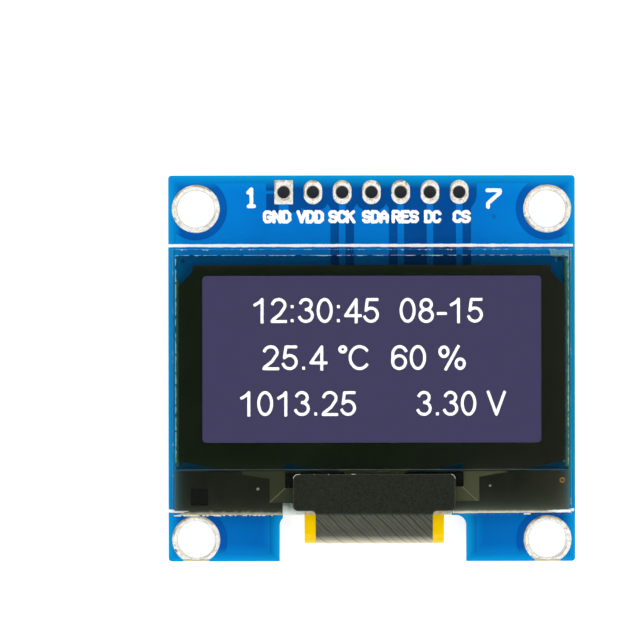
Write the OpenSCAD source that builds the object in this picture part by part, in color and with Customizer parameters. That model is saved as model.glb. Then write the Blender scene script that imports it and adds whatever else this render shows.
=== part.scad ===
// Small OLED display module: a glass display panel on a notched circuit board,
// joined to it by a flex circuit that folds round the board's lower edge.
// Millimetres. The board lies flat, screen up (+Z), header row towards +Y.
// The origin is on the surface that the module lies on, under the board's centre.

/* [Board] */
// Width of the board, side to side
board_w = 35.3; // [34.9:0.1:40]
// Height of the board, from the flex edge to the header edge
board_h = 33.5; // [32.9:0.1:40]
// Thickness of the laminate
board_t = 1.2; // [0.8:0.1:1.6]
// Radius of the board's corners
board_corner_r = 0.3; // [0.1:0.1:1]
// Thickness of the copper fields, with the solder mask on them
copper_t = 0.04; // [0.02:0.01:0.06]
// Border without copper round the board
copper_border = 0.65; // [0.3:0.05:1]

/* [Flex notch] */
// Width of the notch in the lower edge
notch_w = 16.2; // [14:0.1:20]
// Middle of the notch, measured from the middle of the board
notch_x = 0.1; // [-1:0.1:1]
// Distance from the glass's lower edge down to the notch
notch_step = 0.07; // [0.02:0.01:0.3]
// Radius of the notch's inner corners
notch_r = 0.9; // [0.3:0.1:1.2]
// Width of the narrower slot beyond the notch
slot_w = 14.65; // [13:0.05:15]
// Middle of the slot, measured from the middle of the board
slot_x = -0.4; // [-0.6:0.1:0.6]
// Depth of the slot beyond the notch
slot_depth = 1.05; // [0.6:0.05:1.5]
// Radius of the slot's inner corners
slot_r = 0.4; // [0.1:0.1:0.5]

/* [Mounting holes] */
// Diameter of the mounting holes inside their plating
hole_d = 3.2; // [2.6:0.1:3.4]
// Distance between the holes, side to side
hole_pitch_x = 30.5; // [29:0.1:31]
// Distance between the holes, up the board
hole_pitch_y = 28.7; // [28:0.1:29]
// Distance from the header edge to the upper holes' centres
hole_margin = 2.9; // [2.6:0.1:3.4]
// Diameter of the tinned land round each hole
hole_land_d = 4.2; // [3.8:0.1:4.6]
// Distance that the lands stop short of the board's edge
land_setback = 0.18; // [0.05:0.01:0.3]
// Diameter that the copper field leaves free round each hole
hole_keepout_d = 5.5; // [4.8:0.1:6]
// Thickness of the plating inside the mounting holes and header holes
plating_t = 0.05; // [0.03:0.01:0.1]
// Height of the tinned lands above the laminate
land_t = 0.05; // [0.03:0.01:0.08]

/* [Header row] */
// Distance between the header holes
header_pitch = 2.54; // [2.5:0.01:2.56]
// Diameter of the header holes inside their plating
header_hole_d = 1.06; // [0.9:0.02:1.2]
// Width of a header pad, along the row
header_pad_w = 1.65; // [1.5:0.05:1.8]
// Length of a header pad, across the row
header_pad_l = 2.14; // [1.7:0.02:2.4]
// Distance from the header edge to the row of holes
header_margin = 1.46; // [1.3:0.02:1.8]
// Gap that the copper field leaves round each pad
header_keepout = 0.72; // [0.3:0.02:0.8]
// Width of the tracks that leave the header
track_w = 0.5; // [0.3:0.05:0.6]

/* [Display panel] */
// Width of the glass
panel_w = 34.5; // [34:0.1:34.6]
// Height of the glass, ledge included
panel_h = 23; // [22.6:0.1:23.2]
// Distance from the header edge to the glass
panel_margin = 6.43; // [6.3:0.01:6.6]
// Height of the cap glass behind the screen
cap_h = 19.2; // [19:0.1:19.4]
// Thickness of the cap glass
cap_t = 0.47; // [0.4:0.01:0.6]
// Thickness of the seal between the two glasses
seal_t = 0.03; // [0.02:0.01:0.05]
// Thickness of the substrate glass
substrate_t = 0.7; // [0.5:0.1:1.1]
// Thickness of the tape under the cap glass
tape_t = 0.26; // [0.15:0.01:0.5]
// Width of the polarizer
polarizer_w = 34.2; // [33.8:0.1:34.4]
// Height of the polarizer
polarizer_h = 18.6; // [18.4:0.1:18.8]
// Middle of the polarizer, measured from the middle of the glass
polarizer_x = 0.1; // [-0.1:0.05:0.1]
// Distance from the glass's upper edge to the polarizer
polarizer_margin = 0.5; // [0.3:0.05:0.6]
// Thickness of the polarizer
polarizer_t = 0.2; // [0.15:0.01:0.3]

/* [Screen] */
// Width of the lit area
screen_w = 29.35; // [28:0.05:30]
// Height of the lit area
screen_h = 14.45; // [13:0.05:15]
// Distance from the glass's upper edge to the lit area
screen_margin = 2.3; // [2.1:0.05:2.5]
// Radius of the lit area's corners
screen_r = 0.35; // [0.1:0.05:0.5]
// Width of the dark field round the screen
field_w = 33.45; // [32:0.05:33.6]
// Height of the dark field
field_h = 17.65; // [17:0.05:17.8]
// Distance from the glass's upper edge to the dark field
field_margin = 1.38; // [1.2:0.02:1.4]
// Width of the slanted upper corners
field_chamfer_w = 1.2; // [0.6:0.1:1.6]
// Height of the slanted upper corners
field_chamfer_h = 1.3; // [0.6:0.1:1.6]
// Height of the upright step above each slanted corner
field_step_h = 0.54; // [0.2:0.02:0.8]
// Width of the shallow lower corners
field_foot_w = 3.5; // [2:0.1:5]
// Height of the shallow lower corners
field_foot_h = 0.68; // [0.3:0.02:1]
// Width of the two small windows in the field's lower edge
field_window_w = 2.4; // [1:0.1:3]
// Height of the two small windows
field_window_h = 0.55; // [0.2:0.05:0.8]
// Depth of the recess in the cap glass
recess_depth = 0.27; // [0.2:0.01:0.3]
// Thickness of the getter sheet in the recess
getter_t = 0.18; // [0.1:0.01:0.18]

/* [Ledge] */
// Middle of everything on the ledge, measured from the middle of the glass
ledge_x = 0.2; // [0:0.05:0.4]
// How far the pieces laid on the ledge sit askew, in degrees
ledge_skew = 0.5; // [0:0.1:0.6]
// Length of the driver chip
chip_l = 15.3; // [13:0.1:15.4]
// Width of the driver chip
chip_w = 1.3; // [1:0.05:1.35]
// Height of the driver chip
chip_t = 0.3; // [0.2:0.01:0.35]
// Distance from the cap glass to the driver chip
chip_gap = 0.2; // [0.2:0.01:0.25]
// Width of the strip of traces beside the chip
trace_strip_w = 1.35; // [1:0.05:1.5]
// Width of the strip of traces below the chip
trace_foot_w = 1.25; // [1:0.05:1.3]
// Thickness of the traces
trace_t = 0.02; // [0.02:0.01:0.03]
// Width of the slanted part where the traces spread to the screen
trace_fan_w = 2.4; // [1:0.1:3]
// Border of the black spacer beside the glass's edges
spacer_border = 0.15; // [0.05:0.05:0.5]
// Distance from the glass's lower edge to the black spacer
spacer_margin = 0.35; // [0.3:0.05:0.5]
// Width of the shield tape
shield_w = 14.1; // [13:0.1:14.4]
// Height of the shield tape at its sides
shield_h = 3.06; // [2.8:0.02:3.1]
// How much further the shield tape's middle reaches down
shield_tab = 0.3; // [0.1:0.02:0.32]
// Radius of the shield tape's corners
shield_r = 0.45; // [0.2:0.05:0.8]
// Thickness of the shield tape
shield_t = 0.1; // [0.05:0.01:0.15]

/* [Flex circuit] */
// Width of the flex circuit
flex_w = 12.1; // [11:0.1:12.4]
// Thickness of the base film
flex_film_t = 0.06; // [0.04:0.01:0.08]
// Thickness of the cover film, with the tracks in it
flex_cover_t = 0.04; // [0.03:0.01:0.06]
// Bare edge of the base film beside the cover film
flex_edge = 0.98; // [0.4:0.02:1.4]
// How far the flex circuit is bonded under the ledge
bond_l = 1.66; // [1.2:0.02:1.7]
// How far the fold stands out past the glass
fold_reach = 2.55; // [1.6:0.05:2.9]
// Width of the solder head
head_w = 22; // [21:0.1:23]
// Height of the solder head
head_h = 4.6; // [4:0.1:5.5]
// Length of the flex circuit on the back, from the fold to the head's upper edge
strap_l = 11.46; // [11:0.02:12]
// Number of fingers on the head
finger_count = 30; // [10:2:30]
// Distance between the fingers
finger_pitch = 0.7; // [0.5:0.05:0.7]
// Width of a finger
finger_w = 0.36; // [0.2:0.02:0.38]
// Length of a finger
finger_l = 1.5; // [1:0.1:2]

/* [Parts on the back] */
// Height of the tallest parts, which the module lies on
part_h = 1.15; // [1:0.05:1.4]
// Height of the small chip parts
small_part_h = 0.8; // [0.5:0.05:0.9]
// Length of the regulator's body
regulator_l = 2.9; // [2.8:0.1:3]
// Width of the regulator's body
regulator_w = 1.3; // [1.2:0.1:1.4]
// Length of the diode's body
diode_l = 2.7; // [2.6:0.1:2.8]
// Width of the diode's body
diode_w = 1.6; // [1.4:0.1:1.7]

/* [Hidden] */
header_count = 7;
EYELETS = ["top_left", "top_right", "bottom_left", "bottom_right"];

// Fineness of the round bores and arcs
$fn = 48;
arc_steps = 8;

// Clearance between pieces that lie side by side, and round a piece in its pocket
fit = 0.02;
pocket_fit = 0.05;

// Heights, from the surface that the module lies on
board_z = part_h + land_t;
board_top = board_z + board_t;
copper_top = board_top + copper_t;
cap_z = copper_top + tape_t;
seal_z = cap_z + cap_t;
glass_z = seal_z + seal_t;
glass_top = glass_z + substrate_t;
ledge_under = glass_z - trace_t;

// Places on the board, seen from the front
edge_x = board_w / 2;
edge_y = board_h / 2;
header_y = edge_y - header_margin;
hole_top_y = edge_y - hole_margin;
hole_low_y = hole_top_y - hole_pitch_y;
panel_top_y = edge_y - panel_margin;
panel_foot_y = panel_top_y - panel_h;
cap_foot_y = panel_top_y - cap_h;
notch_top_y = panel_foot_y - notch_step;
notch_depth = edge_y + notch_top_y;
slot_top_y = notch_top_y + slot_depth;
pad_reach = header_pad_w / 2 + header_keepout;
header_reach = (header_count - 1) / 2 * header_pitch + pad_reach;
track_gap = 0.8;
notch_border = 0.9;
spoke_w = 0.2;
wide_spoke_w = 0.78;

// The flex circuit's fold, as a half ring seen from the side
fold_r = (glass_z - board_z + copper_t + flex_film_t + flex_cover_t) / 2;
fold_y = panel_foot_y - fold_reach + fold_r;
fold_z = glass_z - fold_r;
cover_w = flex_w - 2 * flex_edge;
cover_start_y = panel_foot_y + 0.4;
head_top_y = fold_y + strap_l;
head_foot_y = head_top_y - head_h;
head_corner_r = 0.8;
neck_r = 1.2;
cover_inset = 0.35;
finger_start_y = head_top_y - finger_l - 0.2;
joint_reach = 0.75;
joint_side = 0.03;
joint_half_w = finger_w / 2 + joint_side;
land_reach = joint_reach + 0.25;
finger_xs = [for (i = [0:finger_count - 1]) ledge_x + (i - (finger_count - 1) / 2) * finger_pitch];

// The traces and the chip on the ledge
trace_gap = 0.03;
trace_rise = 0.07;
trace_inner_x = chip_l / 2 + pocket_fit + trace_gap;
trace_outer_x = trace_inner_x + trace_strip_w;
trace_foot_y = cap_foot_y - chip_gap - chip_w + trace_rise;
trace_end_x = flex_w / 2 + 2 * pocket_fit;
tape_drop = chip_gap / 2 + 0.2;
chip_y = cap_foot_y - chip_gap - chip_w / 2;

// Chip parts: length, width, height, length of an end terminal
SMALL = [1.6, 0.8, small_part_h, 0.32];
LARGE = [2, 1.25, part_h, 0.42];
terminal_wall = 0.03;
lead_w = 0.4;
lead_t = 0.12;
diode_lead_w = 0.6;
lead_reach = 0.75;
land_border = 0.06;
part_keepout = 0.3;

// Parts on the back: middle, turn, size
row_y = head_top_y + 4.4;
row_start_x = -9.6;
row_pitch = 2.4;
upper_row_y = row_y + 5;
beside_head_x = head_w / 2 + 2.6;
above_holes_y = hole_low_y + 6.45;
function in_row(i) = [row_start_x + i * row_pitch, row_y];
CAPACITORS = [
    [[-beside_head_x, above_holes_y], 90, LARGE],
    [[beside_head_x, above_holes_y], 90, LARGE],
    [in_row(0), 90, SMALL],
    [in_row(1), 90, SMALL],
    [in_row(6), 90, SMALL],
    [in_row(7), 90, SMALL],
    [[0.9, upper_row_y], 0, SMALL],
    [[13.2, upper_row_y], 90, SMALL]
];
RESISTORS = [
    [in_row(2), 90, SMALL],
    [in_row(3), 90, SMALL],
    [in_row(4), 90, SMALL],
    [in_row(5), 90, SMALL],
    [[-4.6, upper_row_y], 0, SMALL],
    [[4.9, upper_row_y], 90, SMALL]
];
regulator_place = [9.3, upper_row_y];
diode_place = [-10.2, upper_row_y];

// ---- Outlines ----

function arc(middle, r, from, to) =
    [for (i = [0:arc_steps]) middle + r * [cos(from + (to - from) * i / arc_steps),
                                           sin(from + (to - from) * i / arc_steps)]];

function rounded_box(w, h, r) = concat(
    arc([w / 2 - r, h / 2 - r], r, 0, 90),
    arc([-w / 2 + r, h / 2 - r], r, 90, 180),
    arc([-w / 2 + r, -h / 2 + r], r, 180, 270),
    arc([w / 2 - r, -h / 2 + r], r, 270, 360)
);

// A tongue that hangs down from y = 0, with rounded upper corners
function tongue(w, h, r) = concat(
    arc([w / 2 - r, -r], r, 0, 90),
    arc([-w / 2 + r, -r], r, 90, 180),
    [[-w / 2, -h], [w / 2, -h]]
);

// A pad with round ends
function obround(w, l) = concat(
    arc([0, l / 2 - w / 2], w / 2, 0, 180),
    arc([0, w / 2 - l / 2], w / 2, 180, 360)
);

module box_2d(x0, x1, y0, y1) translate([x0, y0]) square([x1 - x0, y1 - y0]);

module notch_2d(grow) {
    translate([notch_x, notch_top_y + grow])
        polygon(tongue(notch_w + 2 * grow, notch_depth + 2 * grow + 1, notch_r));
    translate([slot_x, slot_top_y + grow])
        polygon(tongue(slot_w + 2 * grow, slot_depth + notch_depth, slot_r));
}

module board_2d() difference() {
    polygon(rounded_box(board_w, board_h, board_corner_r));
    notch_2d(0);
}

function eyelet_place(corner) = [
    (corner == "top_left" || corner == "bottom_left" ? -1 : 1) * hole_pitch_x / 2,
    corner == "top_left" || corner == "top_right" ? hole_top_y : hole_low_y
];

function pad_x(i) = (i - (header_count + 1) / 2) * header_pitch;

module at_eyelets() for (corner = EYELETS) translate(eyelet_place(corner)) children();

module at_pads() for (i = [1:header_count]) translate([pad_x(i), header_y]) children();

// Outline of pad i, grown by a border; the first pad is square-ended
module pad_2d(i, grow) {
    if (i == 1) square([header_pad_w + 2 * grow, header_pad_l + 2 * grow], center = true);
    else polygon(obround(header_pad_w + 2 * grow, header_pad_l + 2 * grow));
}

// ---- Circuit board ----

module printed_board() color("royalblue") translate([0, 0, board_z]) linear_extrude(board_t)
    difference() {
        board_2d();
        at_eyelets() circle(d = hole_d + 2 * plating_t);
        at_pads() circle(d = header_hole_d + 2 * plating_t);
    }

// What every copper field leaves free: the border, the holes, the header and the notch
module field_2d() difference() {
    polygon(rounded_box(board_w - 2 * copper_border, board_h - 2 * copper_border, board_corner_r));
    at_eyelets() circle(d = hole_keepout_d);
    for (i = [1:header_count]) translate([pad_x(i), header_y]) pad_2d(i, header_keepout);
    box_2d(-header_reach, header_reach, header_y, edge_y);
    notch_2d(notch_border);
}

// A track straight down from pad i
module down_track(i, end_y) box_2d(pad_x(i) - track_w / 2, pad_x(i) + track_w / 2, end_y, header_y);

// Tracks drawn from the pads' middles, cut back to the pads' outlines
module from_pads() difference() {
    children();
    for (i = [1:header_count]) translate([pad_x(i), header_y]) pad_2d(i, 0);
}

// The lane that the tracks of pads first to last run in
module lane(first, last, end_y) box_2d(pad_x(first) - track_w / 2 - track_gap,
                                       pad_x(last) + track_w / 2 + track_gap, end_y, header_y);

module front_copper() color("dodgerblue") translate([0, 0, board_top]) linear_extrude(copper_t) {
    lane_end_y = panel_top_y - 3;
    difference() {
        field_2d();
        lane(3, 3, lane_end_y);
        lane(5, 7, lane_end_y);
    }
    from_pads() {
        for (i = [3, 5, 6, 7]) down_track(i, lane_end_y + track_gap);
        box_2d(-header_reach - 1, pad_x(1), header_y - spoke_w / 2, header_y + spoke_w / 2);
        box_2d(pad_x(1) - wide_spoke_w / 2, pad_x(1) + wide_spoke_w / 2,
               header_y - header_pad_l / 2 - header_keepout - 0.1, header_y);
    }
}

// ---- Plated holes ----

module plated_hole(bore_d) translate([0, 0, board_z - land_t]) difference() {
    union() {
        children();
        cylinder(d = bore_d + 2 * plating_t, h = board_t + 2 * land_t);
    }
    translate([0, 0, -1]) cylinder(d = bore_d, h = board_t + 2 * land_t + 2);
}

// Two lands of one outline, one on each face of the board
module both_faces() for (z = [0, board_t + land_t]) translate([0, 0, z]) linear_extrude(land_t) children();

module mounting_eyelet(corner) color("silver") translate(eyelet_place(corner)) plated_hole(hole_d)
    both_faces() intersection() {
        circle(d = hole_land_d);
        translate(-eyelet_place(corner))
            polygon(rounded_box(board_w - 2 * land_setback, board_h - 2 * land_setback, board_corner_r));
    }

module header_pad(i) color("silver") translate([pad_x(i), header_y]) plated_hole(header_hole_d)
    both_faces() pad_2d(i, 0);

// ---- Display panel ----

module panel_plate(y0, z0, z1, border) translate([0, 0, z0]) linear_extrude(z1 - z0)
    box_2d(-panel_w / 2 + border, panel_w / 2 - border, y0 + border, panel_top_y - border);

screen_y = panel_top_y - screen_margin - screen_h / 2;
field_y = panel_top_y - field_margin - field_h / 2;

module mounting_tape() color("white") translate([0, screen_y, copper_top])
    linear_extrude(tape_t) polygon(rounded_box(screen_w, screen_h, 0.5));

module cap_glass() color("lightcyan", 0.5) difference() {
    panel_plate(cap_foot_y, cap_z, seal_z, 0);
    translate([0, screen_y, seal_z - recess_depth]) linear_extrude(1)
        polygon(rounded_box(screen_w + 1, screen_h + 1, 1.2));
}

module getter_sheet() color("gray") translate([0, screen_y, seal_z - recess_depth])
    linear_extrude(getter_t) polygon(rounded_box(screen_w, screen_h, 1));

module panel_seal() color("white", 0.5) difference() {
    panel_plate(cap_foot_y, seal_z, glass_z, fit);
    translate([0, field_y, seal_z - 1]) linear_extrude(2)
        square([field_w + 0.1, field_h + 0.1], center = true);
}

// The dark field: cut upper corners with an upright step, shallow lower corners, and two small
// windows beside the trace strips
module cathode_layer() color("black") translate([0, 0, seal_z]) linear_extrude(seal_t / 2) {
    x = field_w / 2;
    y1 = panel_top_y - field_margin;
    y0 = y1 - field_h;
    corner = [x - field_chamfer_w, y1];
    step = [x - field_chamfer_w, y1 - field_step_h];
    side = [x, y1 - field_step_h - field_chamfer_h];
    left_window = ledge_x - trace_inner_x;
    right_window = ledge_x + trace_inner_x;
    polygon([
        corner, step, side,
        [x, y0 + field_foot_h], [x - field_foot_w, y0],
        [right_window, y0], [right_window, y0 + field_window_h], [right_window - field_window_w, y0],
        [left_window + field_window_w, y0], [left_window, y0 + field_window_h], [left_window, y0],
        [field_foot_w - x, y0], [-x, y0 + field_foot_h],
        [-side.x, side.y], [-step.x, step.y], [-corner.x, corner.y]
    ]);
}

module emitter_layer() color("slateblue") translate([0, screen_y, glass_z - seal_t / 2])
    linear_extrude(seal_t / 2) polygon(rounded_box(screen_w, screen_h, screen_r));

module substrate_glass() color("lightcyan", 0.4)
    panel_plate(panel_foot_y, glass_z, glass_top, 0);

module polarizer() color("black", 0.4) translate([polarizer_x, panel_top_y - polarizer_margin, glass_top])
    linear_extrude(polarizer_t) translate([-polarizer_w / 2, -polarizer_h])
        square([polarizer_w, polarizer_h]);

// ---- Pieces on the ledge ----

// Laid on the ledge a little askew, about the middle of the cap glass's lower edge
module askew() translate([ledge_x, cap_foot_y]) rotate(ledge_skew) children();

module below_cap() intersection() {
    children();
    box_2d(-panel_w / 2, panel_w / 2, panel_foot_y, cap_foot_y);
}

// One bundle of traces: a strip beside the chip, a foot that turns in below it, and a slanted
// part where the traces spread to the screen. side is 1 for the right and -1 for the left.
module trace_bundle(side) color("darkolivegreen") translate([0, 0, ledge_under]) linear_extrude(trace_t)
    below_cap() askew() scale([side, 1]) {
        foot_top = trace_foot_y - cap_foot_y;
        polygon([
            [trace_inner_x, 1], [trace_inner_x, foot_top], [trace_end_x, foot_top],
            [trace_end_x, foot_top - trace_foot_w], [trace_outer_x, foot_top - trace_foot_w],
            [trace_outer_x, -0.6], [trace_outer_x + trace_fan_w, -0.2], [trace_outer_x + trace_fan_w, 1]
        ]);
    }

module driver_chip() color("black") translate([0, 0, ledge_under - chip_t]) linear_extrude(chip_t)
    askew() translate([-chip_l / 2, chip_y - cap_foot_y - chip_w / 2]) square([chip_l, chip_w]);

module ledge_spacer() color("black") difference() {
    translate([0, 0, copper_top]) linear_extrude(ledge_under - copper_top)
        box_2d(-panel_w / 2 + spacer_border, panel_w / 2 - spacer_border,
               panel_foot_y + spacer_margin, cap_foot_y - 2 * fit);
    // pocket for the chip
    translate([0, 0, ledge_under - chip_t - fit]) linear_extrude(1) askew()
        translate([0, chip_y - cap_foot_y])
            square([chip_l + 2 * pocket_fit, chip_w + 2 * pocket_fit], center = true);
    // pocket for the bonded end of the flex circuit
    translate([ledge_x, 0, glass_z - flex_cover_t - flex_film_t - fit]) linear_extrude(1)
        box_2d(-trace_end_x, trace_end_x, panel_foot_y, panel_foot_y + bond_l + pocket_fit);
    // the slot in the board goes on through the spacer
    translate([slot_x, 0, 0]) linear_extrude(glass_top)
        box_2d(-slot_w / 2, slot_w / 2, panel_foot_y - 1, slot_top_y);
}

module shield_tape() color("darkslategray") translate([0, 0, glass_top]) linear_extrude(shield_t)
    askew() {
        translate([0, -tape_drop - shield_h / 2]) polygon(rounded_box(shield_w, shield_h, shield_r));
        translate([0, -tape_drop - shield_h - shield_tab / 2])
            square([cover_w, shield_tab + 0.1], center = true);
    }

// ---- Flex circuit ----

// The bond reaches the glass's edge beside the cover film, and stops short of it in the middle
module bond_strip() color("tan") translate([ledge_x, 0, glass_z - flex_cover_t]) linear_extrude(flex_cover_t)
    difference() {
        box_2d(-flex_w / 2, flex_w / 2, panel_foot_y + fit, panel_foot_y + bond_l);
        box_2d(-cover_w / 2, cover_w / 2, panel_foot_y - 1, cover_start_y);
    }

// Side view of a film folded round: t is its thickness, outer its outer radius
module fold_2d(outer, t, start_y) {
    translate([fold_y, fold_z]) difference() {
        circle(r = outer);
        circle(r = outer - t);
        translate([0, -outer - 1]) square([outer + 1, 2 * outer + 2]);
    }
    translate([fold_y, fold_z + outer - t]) square([start_y - fold_y, t]);
}

module across(w) translate([ledge_x - w / 2, 0, 0]) rotate([90, 0, 90]) linear_extrude(w) children();

// Outline of the strap and its wide head; inset draws the cover film's narrower one
function strap_half(w, inset, top_y) = concat(
    [[w / 2, fold_y]],
    arc([w / 2 + neck_r, head_foot_y + inset - neck_r], neck_r, 180, 90),
    arc([head_w / 2 - inset - head_corner_r, head_foot_y + inset + head_corner_r], head_corner_r, -90, 0),
    [[head_w / 2 - inset, top_y]]
);

module strap_2d(w, inset, top_y) {
    right = strap_half(w, inset, top_y);
    count = len(right);
    translate([ledge_x, 0])
        polygon(concat(right, [for (i = [1:count]) [-right[count - i].x, right[count - i].y]]));
}

// Lays out what is on the back: z is the height above the laminate's rear face
module on_back() translate([0, 0, board_z]) mirror([0, 0, 1]) children();

module flex_film() color("gold") {
    across(flex_w) fold_2d(fold_r - flex_cover_t, flex_film_t, panel_foot_y + bond_l);
    on_back() translate([0, 0, copper_t]) linear_extrude(flex_film_t) strap_2d(flex_w, 0, head_top_y);
}

module flex_cover() color("dimgray") {
    across(cover_w) fold_2d(fold_r, flex_cover_t, cover_start_y);
    on_back() translate([0, 0, copper_t + flex_film_t]) linear_extrude(flex_cover_t)
        strap_2d(cover_w, cover_inset, finger_start_y);
}

module flex_fingers() color("silver") on_back() translate([0, 0, copper_t + flex_film_t])
    linear_extrude(flex_cover_t) for (x = finger_xs)
        box_2d(x - finger_w / 2, x + finger_w / 2, finger_start_y + pocket_fit, head_top_y);

// A bead of solder from each finger over the head's edge to the land beyond it
module flex_joints() color("lightgray") on_back() for (x = finger_xs) {
    bead_z = copper_t + flex_film_t + flex_cover_t;
    translate([x, head_top_y - finger_l / 2, bead_z]) rotate([-90, 0, 0]) intersection() {
        cylinder(d = finger_w, h = finger_l / 2 + joint_reach);
        translate([-finger_w, -finger_w, 0]) cube([2 * finger_w, finger_w, 3]);
    }
    translate([x - finger_w / 2, head_top_y + fit, land_t])
        cube([finger_w, joint_reach - fit, bead_z - land_t]);
}

// ---- Parts on the back ----

module at_part(part) on_back() translate([part[0].x, part[0].y, land_t]) rotate(part[1]) children();

module chip_body(size) translate([-size[0] / 2 + terminal_wall, -size[1] / 2 + terminal_wall, terminal_wall])
    cube([size[0], size[1], size[2]] - 2 * terminal_wall * [1, 1, 1]);

module chip_terminals(size) difference() {
    for (side = [-1, 1]) translate([side * (size[0] - size[3]) / 2 - size[3] / 2, -size[1] / 2, 0])
        cube([size[3], size[1], size[2]]);
    chip_body(size);
}

module capacitor(i) color("tan") at_part(CAPACITORS[i - 1]) chip_body(CAPACITORS[i - 1][2]);

module resistor(i) color("black") at_part(RESISTORS[i - 1]) chip_body(RESISTORS[i - 1][2]);

module capacitor_terminals() color("silver") for (part = CAPACITORS) at_part(part) chip_terminals(part[2]);

module resistor_terminals() color("silver") for (part = RESISTORS) at_part(part) chip_terminals(part[2]);

// A hollow-faced fillet of solder, from the top of its land up an end terminal
module fillet(w, h) translate([0, w / 2, 0]) rotate([90, 0, 0]) linear_extrude(w)
    polygon(concat([[0, 0]], arc([h, h], h, 180, 270)));

module solder_fillets() color("lightgray") for (part = concat(CAPACITORS, RESISTORS)) at_part(part)
    for (side = [0, 180]) rotate(side) translate([part[2][0] / 2, 0, 0]) fillet(part[2][1] - 0.1, 0.4);

// Body of a moulded part, drafted both ways from its parting line
module moulded_body(l, w) hull() {
    draft = 0.12;
    for (level = [[0.1, draft], [part_h / 2, 0], [part_h - 0.01, draft]])
        translate([-l / 2 + level[1], -w / 2 + level[1], level[0]])
            cube([l - 2 * level[1], w - 2 * level[1], 0.01]);
}

// A bent lead that leaves the body at mid height and ends flat on its land
module lead(body_half, w) translate([-w / 2, 0, 0]) rotate([90, 0, 90]) linear_extrude(w) {
    shoulder = part_h / 2;
    knee = body_half + 0.2;
    toe = body_half + lead_reach;
    polygon([
        [body_half, shoulder], [knee, shoulder], [knee + 0.1, 0], [toe, 0], [toe, lead_t],
        [knee + 0.2, lead_t], [knee + 0.1, shoulder + lead_t], [body_half, shoulder + lead_t]
    ]);
}

module on_leads(place) on_back() translate([place.x, place.y, land_t]) children();

regulator_lead_xs = [-0.95, 0.95];

module regulator_body() color("black") on_leads(regulator_place) moulded_body(regulator_l, regulator_w);

module regulator_leads() color("silver") on_leads(regulator_place) {
    lead(regulator_w / 2, lead_w);
    rotate(180) for (x = regulator_lead_xs) translate([x, 0, 0]) lead(regulator_w / 2, lead_w);
}

module diode_body() color("black") on_leads(diode_place) moulded_body(diode_l, diode_w);

module diode_leads() color("silver") on_leads(diode_place) for (turn = [90, 270])
    rotate(turn) lead(diode_l / 2, diode_lead_w);

// Land under a lead that leaves a body of this half width
module lead_land_2d(body_half, w, grow) box_2d(-w / 2 - land_border - grow, w / 2 + land_border + grow,
                                               body_half + 0.2 - grow, body_half + lead_reach + 0.15 + grow);

module lead_lands_2d(grow) {
    translate(regulator_place) {
        lead_land_2d(regulator_w / 2, lead_w, grow);
        rotate(180) for (x = regulator_lead_xs) translate([x, 0]) lead_land_2d(regulator_w / 2, lead_w, grow);
    }
    translate(diode_place) for (turn = [90, 270]) rotate(turn) lead_land_2d(diode_l / 2, diode_lead_w, grow);
}

module chip_lands_2d(grow) for (part = concat(CAPACITORS, RESISTORS)) translate(part[0]) rotate(part[1])
    for (side = [0, 180]) rotate(side) translate([part[2][0] / 2 + 0.05, 0])
        square([2 * part[2][3] + 0.5 + 2 * grow, part[2][1] + 2 * land_border + 2 * grow], center = true);

module flex_lands_2d() for (x = finger_xs)
    box_2d(x - joint_half_w, x + joint_half_w, head_top_y + fit, head_top_y + land_reach);

module rear_lands() color("silver") on_back() linear_extrude(land_t) {
    lead_lands_2d(0);
    chip_lands_2d(0);
    flex_lands_2d();
}

// A track up the back that steps sideways in its middle
module stepped_track(from, to, w) {
    rise = (to.y - from.y) / 4;
    polygon([
        from - [w / 2, 0], [from.x - w / 2, from.y + rise], [to.x - w / 2, to.y - rise], to - [w / 2, 0],
        to + [w / 2, 0], [to.x + w / 2, to.y - rise], [from.x + w / 2, from.y + rise], from + [w / 2, 0]
    ]);
}

module rear_copper() color("dodgerblue") on_back() linear_extrude(copper_t) {
    lane_top_y = row_y + 1.9;
    lane_x = head_w / 2;
    thin_w = 0.25;
    land_end_y = head_top_y + land_reach;
    row_land_y = row_y - SMALL[0] / 2 - 0.05 - SMALL[3] - 0.25;
    difference() {
        field_2d();
        box_2d(ledge_x - lane_x, ledge_x + lane_x, head_top_y - 0.01, lane_top_y);
        chip_lands_2d(part_keepout);
        lead_lands_2d(part_keepout);
        lane(2, 2, upper_row_y + 2);
        lane(4, 4, upper_row_y + 2);
    }
    for (i = [0:7]) stepped_track([finger_xs[3 + 3 * i], land_end_y], [in_row(i).x, row_land_y], thin_w);
    from_pads() for (i = [2, 4]) down_track(i, upper_row_y + 2 + track_gap);
}

// ---- The module ----

printed_board();
front_copper();
rear_copper();
rear_lands();
for (corner = EYELETS) mounting_eyelet(corner);
for (i = [1:header_count]) header_pad(i);
mounting_tape();
cap_glass();
getter_sheet();
panel_seal();
cathode_layer();
emitter_layer();
substrate_glass();
polarizer();
trace_bundle(-1);  // left_traces
trace_bundle(1);  // right_traces
driver_chip();
ledge_spacer();
shield_tape();
bond_strip();
flex_film();
flex_cover();
flex_fingers();
flex_joints();
regulator_body();
regulator_leads();
diode_body();
diode_leads();
for (i = [1:8]) capacitor(i);
for (i = [1:6]) resistor(i);
capacitor_terminals();
resistor_terminals();
solder_fillets();
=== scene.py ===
"""Looks of a small OLED display module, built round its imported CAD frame. Lengths are in millimetres."""
import math
from functools import partial

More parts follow.
